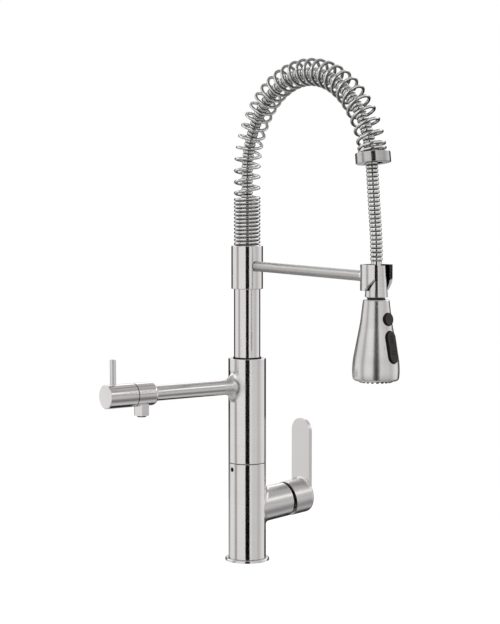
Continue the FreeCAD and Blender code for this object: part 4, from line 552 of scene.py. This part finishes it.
DRESS = (
    (nickel, ("base_flange", "riser_tube", "dock_collar", "hose_ferrule", "filter_outlet_nut",
              "filter_pin_lever")),
    (nickel_body, ("valve_body",)),
    (nickel_sleeve, ("swivel_sleeve",)),
    (nickel_neck, ("spray_neck",)),
    (nickel_dock, ("dock_cradle",)),
    (nickel_head, ("spray_shell",)),
    (nickel_arm, ("filter_arm", "filter_valve_body", "filter_knob")),
    (nickel_lever, ("lever_handle",)),
    (shaded_nickel_cap, ("spring_end_cap",)),
    (rod_steel, ("dock_arm",)),
    (black_steel, ("spindle_grub_screw", "collar_grub_screw", "lever_grub_screw")),
    (screw_steel, ("stem_pin", "rocker_pin", "lever_stem", "filter_feed_tube", "spring_seat")),
    (brass, ("shank_bushing", "inlet_manifold", "swivel_spindle", "cartridge_nut", "filter_headwork",
             "filter_stem", "hose_inlet_fitting")),
    (rubber, ("base_gasket", "manifold_o_ring", "spindle_o_rings", "cartridge_seals", "riser_o_rings",
              "neck_seal", "riser_wiper_ring")),
    (nozzle_rubber, ("spray_nozzles",)),
    (black_plastic, ("bonnet_ring", "filter_outlet_insert", "sleeve_glide_ring", "riser_glide_ring",
                     "spray_aerator", "lever_index_plug")),
    (key_plastic, ("pause_button", "mode_rocker")),
    (face_plastic, ("spray_face",)),
    (pale_plastic, ("cartridge_shell", "cartridge_rotor", "spray_core")),
    (valve_ceramic, ("fixed_ceramic_disc", "moving_ceramic_disc")),
)
for material, names in DRESS:
    for name in names:
        node = nodes[name]
        node.data.materials.clear()
        node.data.materials.append(material)


def on_shaded_flank(_row, column):
    """True on the sides of the wire that face the turns next to it, which take painted shade."""
    return abs(math.sin(2 * math.pi * (column + 0.5) / WIRE_SIDES)) > FLANK_SINE


def make_spring():
    """The wire of the arch spring: close turns, open turns round the arch, close turns in the end cap."""
    turns = DENSE_TURNS + OPEN_TURNS + END_TURNS
    open_travel = SPRING_END - SPRING_START - DENSE_TURNS * DENSE_PITCH - END_TURNS * END_PITCH
    open_pitch = open_travel / OPEN_TURNS
    steps = round(turns * STEPS_PER_TURN)

    def place(turn):
        travel = SPRING_START + min(turn, DENSE_TURNS) * DENSE_PITCH
        travel += min(max(turn - DENSE_TURNS, 0.0), OPEN_TURNS) * open_pitch
        travel += max(turn - DENSE_TURNS - OPEN_TURNS, 0.0) * END_PITCH
        middle, _, side = arch_frame(travel, ARCH_RADIUS, ARCH_TURN)
        angle = 2 * math.pi * turn
        outward = X_AXIS * math.cos(angle) + side * math.sin(angle)
        return middle + outward * COIL_RADIUS, outward

    spots = [place(turns * step / steps) for step in range(steps + 1)]

    def wire_ring(step, radius):
        point, outward = spots[step]
        before = spots[max(step - 1, 0)][0]
        after = spots[min(step + 1, steps)][0]
        ahead = (after - before).normalized()
        across = ahead.cross(outward).normalized()
        return circle(point, across.cross(ahead), across, radius, WIRE_SIDES)

    rings = [wire_ring(0, WIRE_TIP_RADIUS)]
    rings += [wire_ring(step, WIRE_RADIUS) for step in range(steps + 1)]
    rings.append(wire_ring(steps, WIRE_TIP_RADIUS))
    piece = skin("spring_wire", rings, False, [wire_steel, wire_flank_shade], on_shaded_flank)
    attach(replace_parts(piece, "arch_spring"), "main_spout")


def bead(share):
    """Rise of one turn of the hose's wound strip, from 0 in the groove to 1 on its crown."""
    offset = (share - BEAD_HALF_SHARE) / BEAD_HALF_SHARE
    return math.sqrt(max(1 - offset * offset, 0.0))


def in_shaded_groove(row, _column):
    """True on the rows of the sheath between two turns of its strip, which take painted shade."""
    return row % RIB_STEPS in GROOVE_STEPS


def hose_ring(start, end, share, radius, sides):
    """Ring round the hose at a share of the way between two travels."""
    middle, _, side = hose_frame(start + (end - start) * share)
    return circle(middle, X_AXIS, side, radius, sides)


def make_sheath(name, start, end, ribs):
    """Wound steel sheath between two travels: the ribbed outside, then back along the bore."""
    rings = []
    for step in range(ribs * RIB_STEPS + 1):
        radius = HOSE_VALLEY + (HOSE_RADIUS - HOSE_VALLEY) * bead(step % RIB_STEPS / RIB_STEPS)
        rings.append(hose_ring(start, end, step / (ribs * RIB_STEPS), radius, HOSE_SIDES))
    for rib in range(ribs, -1, -1):
        rings.append(hose_ring(start, end, rib / ribs, HOSE_BORE, HOSE_SIDES))
    return skin(name, rings, True, [hose_steel, hose_groove_painted_shade], in_shaded_groove)


def make_liner(name, start, end, steps):
    """Rubber liner between two travels: the outside, then back along the bore."""
    outer = [hose_ring(start, end, step / steps, LINER_RADIUS, LINER_SIDES) for step in range(steps + 1)]
    inner = [hose_ring(start, end, step / steps, LINER_BORE, LINER_SIDES) for step in range(steps, -1, -1)]
    return skin(name, outer + inner, True, [rubber])


def make_hose():
    """Sheath and liner of the hose, fixed in the arch and stretching below it."""
    top = hose_frame(HOSE_JOINT)[0]
    foot = hose_frame(hose_end())[0]
    sheath = make_sheath("hose_sheath_in_arch", HOSE_START, HOSE_JOINT, ARCH_RIBS)
    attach(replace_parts(sheath, "hose_sheath_arch"), "main_spout")
    liner = make_liner("hose_liner_in_arch", HOSE_START, HOSE_JOINT, ARCH_LINER_STEPS)
    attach(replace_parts(liner, "hose_liner_arch"), "main_spout")
    sheath = make_sheath("hose_sheath_below", HOSE_JOINT, hose_end(), LOWER_RIBS)
    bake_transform(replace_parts(sheath, "hose_sheath_lower"))
    liner = make_liner("hose_liner_below", HOSE_JOINT, hose_end(), LOWER_LINER_STEPS)
    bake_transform(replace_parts(liner, "hose_liner_lower"))


def make_grip(name, right, up, length, width):
    """A rounded grip mark on the rocker's face, at a place across and up from its middle."""
    face = Vector((0.0, -REACH, ROCKER_HEIGHT)) + level_out * ROCKER_RADIUS + key_out * ROCKER_RISE
    middle = face + key_across * right + key_up * up
    rings = []
    for rise, inset in GRIP_PROFILE:
        radius = width / 2 - inset
        ring = []
        for index in range(GRIP_SIDES):
            angle = 2 * math.pi * (index + 0.5) / GRIP_SIDES
            straight = math.copysign((length - width) / 2, math.cos(angle))
            ring.append(middle + key_out * rise + key_across * (straight + radius * math.cos(angle))
                        + key_up * (radius * math.sin(angle)))
        rings.append(ring)
    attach(skin(name, rings, False, [grip_painted_shade_plastic]), "mode_key")


def make_grips():
    """Ribs at the top of the rocker and rows of dots at its foot."""
    for index in range(GRIP_RIBS):
        up = GRIP_FIRST_RIB + GRIP_RIB_PITCH * index
        make_grip(f"rocker_rib_{index + 1}", 0.0, up, GRIP_RIB_LENGTH, GRIP_RIB_WIDTH)
    for index in range(GRIP_DOT_ROWS * GRIP_DOTS_PER_ROW):
        row, column = divmod(index, GRIP_DOTS_PER_ROW)
        right = GRIP_DOT_PITCH * (column - (GRIP_DOTS_PER_ROW - 1) / 2)
        up = GRIP_FIRST_ROW - GRIP_ROW_PITCH * row
        make_grip(f"rocker_dot_{index + 1}", right, up, GRIP_DOT_WIDTH, GRIP_DOT_WIDTH)


make_spring()
make_hose()
make_grips()


def make_sheet(name, corners, material):
    """A flat piece of the studio."""
    mesh = bpy.data.meshes.new(name)
    mesh.from_pydata(corners, [], [tuple(range(len(corners)))])
    mesh.materials.append(material)
    return add_object(name, mesh)


def seen_directly(tree):
    """1 for rays from the camera, in reflections and through glass, else 0."""
    path = add_node(tree, "ShaderNodeLightPath", {})
    either = maths(tree, "MAXIMUM", path.outputs["Is Camera Ray"], path.outputs["Is Glossy Ray"])
    return maths(tree, "MAXIMUM", either, path.outputs["Is Transmission Ray"])


def make_floor():
    """Plain pale floor that keeps the object's shadow and fades into the white studio at its rim."""
    material, tree, paper = matt("floor_paper", grey=0.86, rough=0.9)
    glow = add_node(tree, "ShaderNodeEmission", {"Color": opaque((1.0, 1.0, 1.0)), "Strength": FLOOR_GLOW})
    distance = vector_maths(tree, "LENGTH", coordinates(tree, "Object"))
    fade = ramp(tree, distance, FLOOR_FADE_START, FLOOR_FADE_END, low=FLOOR_GLOW_SHARE)
    share = product(tree, [seen_directly(tree), fade])
    mix = add_node(tree, "ShaderNodeMixShader", {0: share, 1: paper.outputs[0], 2: glow.outputs[0]})
    feed(tree, tree.nodes["Material Output"], {"Surface": mix.outputs[0]})
    rim = circle(Vector((0.0, 0.0, 0.0)), X_AXIS, Y_AXIS, FLOOR_RADIUS, FLOOR_SIDES)
    floor = make_sheet("floor", rim, material)
    floor.visible_glossy = False


def band(tree, level, centre, half_width, softness, depth):
    """A soft dark strip of the studio, in degrees right of the camera, as a factor down to 1 - depth."""
    angle = math.radians(centre)
    along = TO_CAMERA.x * math.cos(angle) - TO_CAMERA.y * math.sin(angle)
    across = TO_CAMERA.x * math.sin(angle) + TO_CAMERA.y * math.cos(angle)
    cosine = vector_maths(tree, "DOT_PRODUCT", level, (along, across, 0.0))
    outside = math.cos(math.radians(half_width + softness))
    inside = math.cos(math.radians(max(half_width - softness, 0.0)))
    return ramp(tree, cosine, outside, inside, 1.0, 1.0 - depth)


def up_to(tree, height, factor, full, none):
    """A factor that counts in full up to one height and no more past the other, going up or down."""
    return mix_numbers(tree, ramp(tree, height, full, none, shape="LINEAR"), factor, 1.0)


def make_strips(tree, level, height):
    """The studio's dark strips at both sides, and at the back on the left and right."""
    far_right = band(tree, level, centre=152.0, half_width=22.0, softness=5.0, depth=0.97)
    far_left = band(tree, level, centre=-152.0, half_width=22.0, softness=5.0, depth=0.97)
    far_left = up_to(tree, height, far_left, full=-0.12, none=-0.3)
    return product(tree, [
        band(tree, level, centre=74.0, half_width=9.0, softness=5.0, depth=0.16),
        band(tree, level, centre=-74.0, half_width=8.0, softness=5.0, depth=0.5),
        band(tree, level, centre=62.0, half_width=34.0, softness=12.0, depth=0.2),
        up_to(tree, height, far_right, full=0.15, none=0.35),
        up_to(tree, height, far_left, full=0.3, none=0.55),
    ])


def make_layers(tree, height):
    """The studio's light by height."""
    upward = ramp(tree, height, -1.0, 1.0, shape="LINEAR")
    layers = add_node(tree, "ShaderNodeValToRGB", {"Fac": upward})
    layers.color_ramp.interpolation = "EASE"
    stops = layers.color_ramp.elements
    while len(stops) < len(STUDIO_LAYERS):
        stops.new(0.5)
    for stop, (rise, light) in zip(stops, STUDIO_LAYERS):
        stop.position = (rise + 1) / 2
        stop.color = opaque((light, light, light))
    return layers.outputs["Color"]


def make_world():
    """White studio: white to the camera, with dark strips and layers of light in reflections."""
    world = bpy.data.worlds.new("studio")
    bpy.context.scene.world = world
    world.use_nodes = True
    tree = world.node_tree
    place = coordinates(tree, "Generated")
    level = vector_maths(tree, "NORMALIZE", vector_maths(tree, "MULTIPLY", place, LEVEL))
    height = along_axis(tree, place, "Z")
    mirrored = product(tree, [make_strips(tree, level, height), make_layers(tree, height)])
    from_camera = add_node(tree, "ShaderNodeLightPath", {}).outputs["Is Camera Ray"]
    feed(tree, tree.nodes["Background"], {
        "Color": opaque((1.0, 1.0, 1.0)),
        "Strength": mix_numbers(tree, from_camera, mirrored, 1.0),
    })


def make_flag():
    """Black flag behind the camera, seen only in reflections: the dark stripe on every upright piece."""
    middle = TO_CAMERA * FLAG_DISTANCE
    left = middle + CAMERA_RIGHT * FLAG_LEFT
    right = middle + CAMERA_RIGHT * FLAG_RIGHT
    foot = Z_AXIS * FLAG_FOOT
    top = Z_AXIS * FLAG_TOP
    material = matt("flag_cloth", grey=0.004, rough=1.0)[0]
    flag = make_sheet("camera_flag", [left + foot, right + foot, right + top, left + top], material)
    flag.visible_camera = False
    flag.visible_diffuse = False
    flag.visible_transmission = False
    flag.visible_shadow = False


def aim(thing, target):
    """Turns a lamp or camera to look at a point."""
    thing.rotation_euler = (target - thing.location).to_track_quat("-Z", "Y").to_euler()


def soft_lamp(name, place, power):
    """Wide square lamp that lights the object without showing in its reflections."""
    data = bpy.data.lights.new(name, "AREA")
    data.shape = "SQUARE"
    data.size = LAMP_SIZE
    data.energy = power
    lamp = add_object(name, data)
    lamp.location = place
    lamp.visible_glossy = False
    aim(lamp, LAMP_TARGET)


def make_camera():
    """Camera where the photograph was taken from, a little above the spray head."""
    data = bpy.data.cameras.new("camera")
    data.sensor_fit = "VERTICAL"
    data.sensor_height = SENSOR_HEIGHT_MM
    data.lens = LENS_MM
    camera = add_object("camera", data)
    camera.location = TO_CAMERA * CAMERA_DISTANCE + Z_AXIS * CAMERA_HEIGHT
    target_height = CAMERA_HEIGHT - CAMERA_DISTANCE * math.tan(CAMERA_DIP)
    aim(camera, CAMERA_RIGHT * CAMERA_SHIFT + Z_AXIS * target_height)
    bpy.context.scene.camera = camera


make_floor()
make_world()
make_flag()
soft_lamp("key", place=(-1.6, -1.2, 1.7), power=6.0)
soft_lamp("fill", place=(1.5, -1.6, 1.3), power=4.0)
make_camera()
bpy.context.scene.view_settings.view_transform = "Standard"
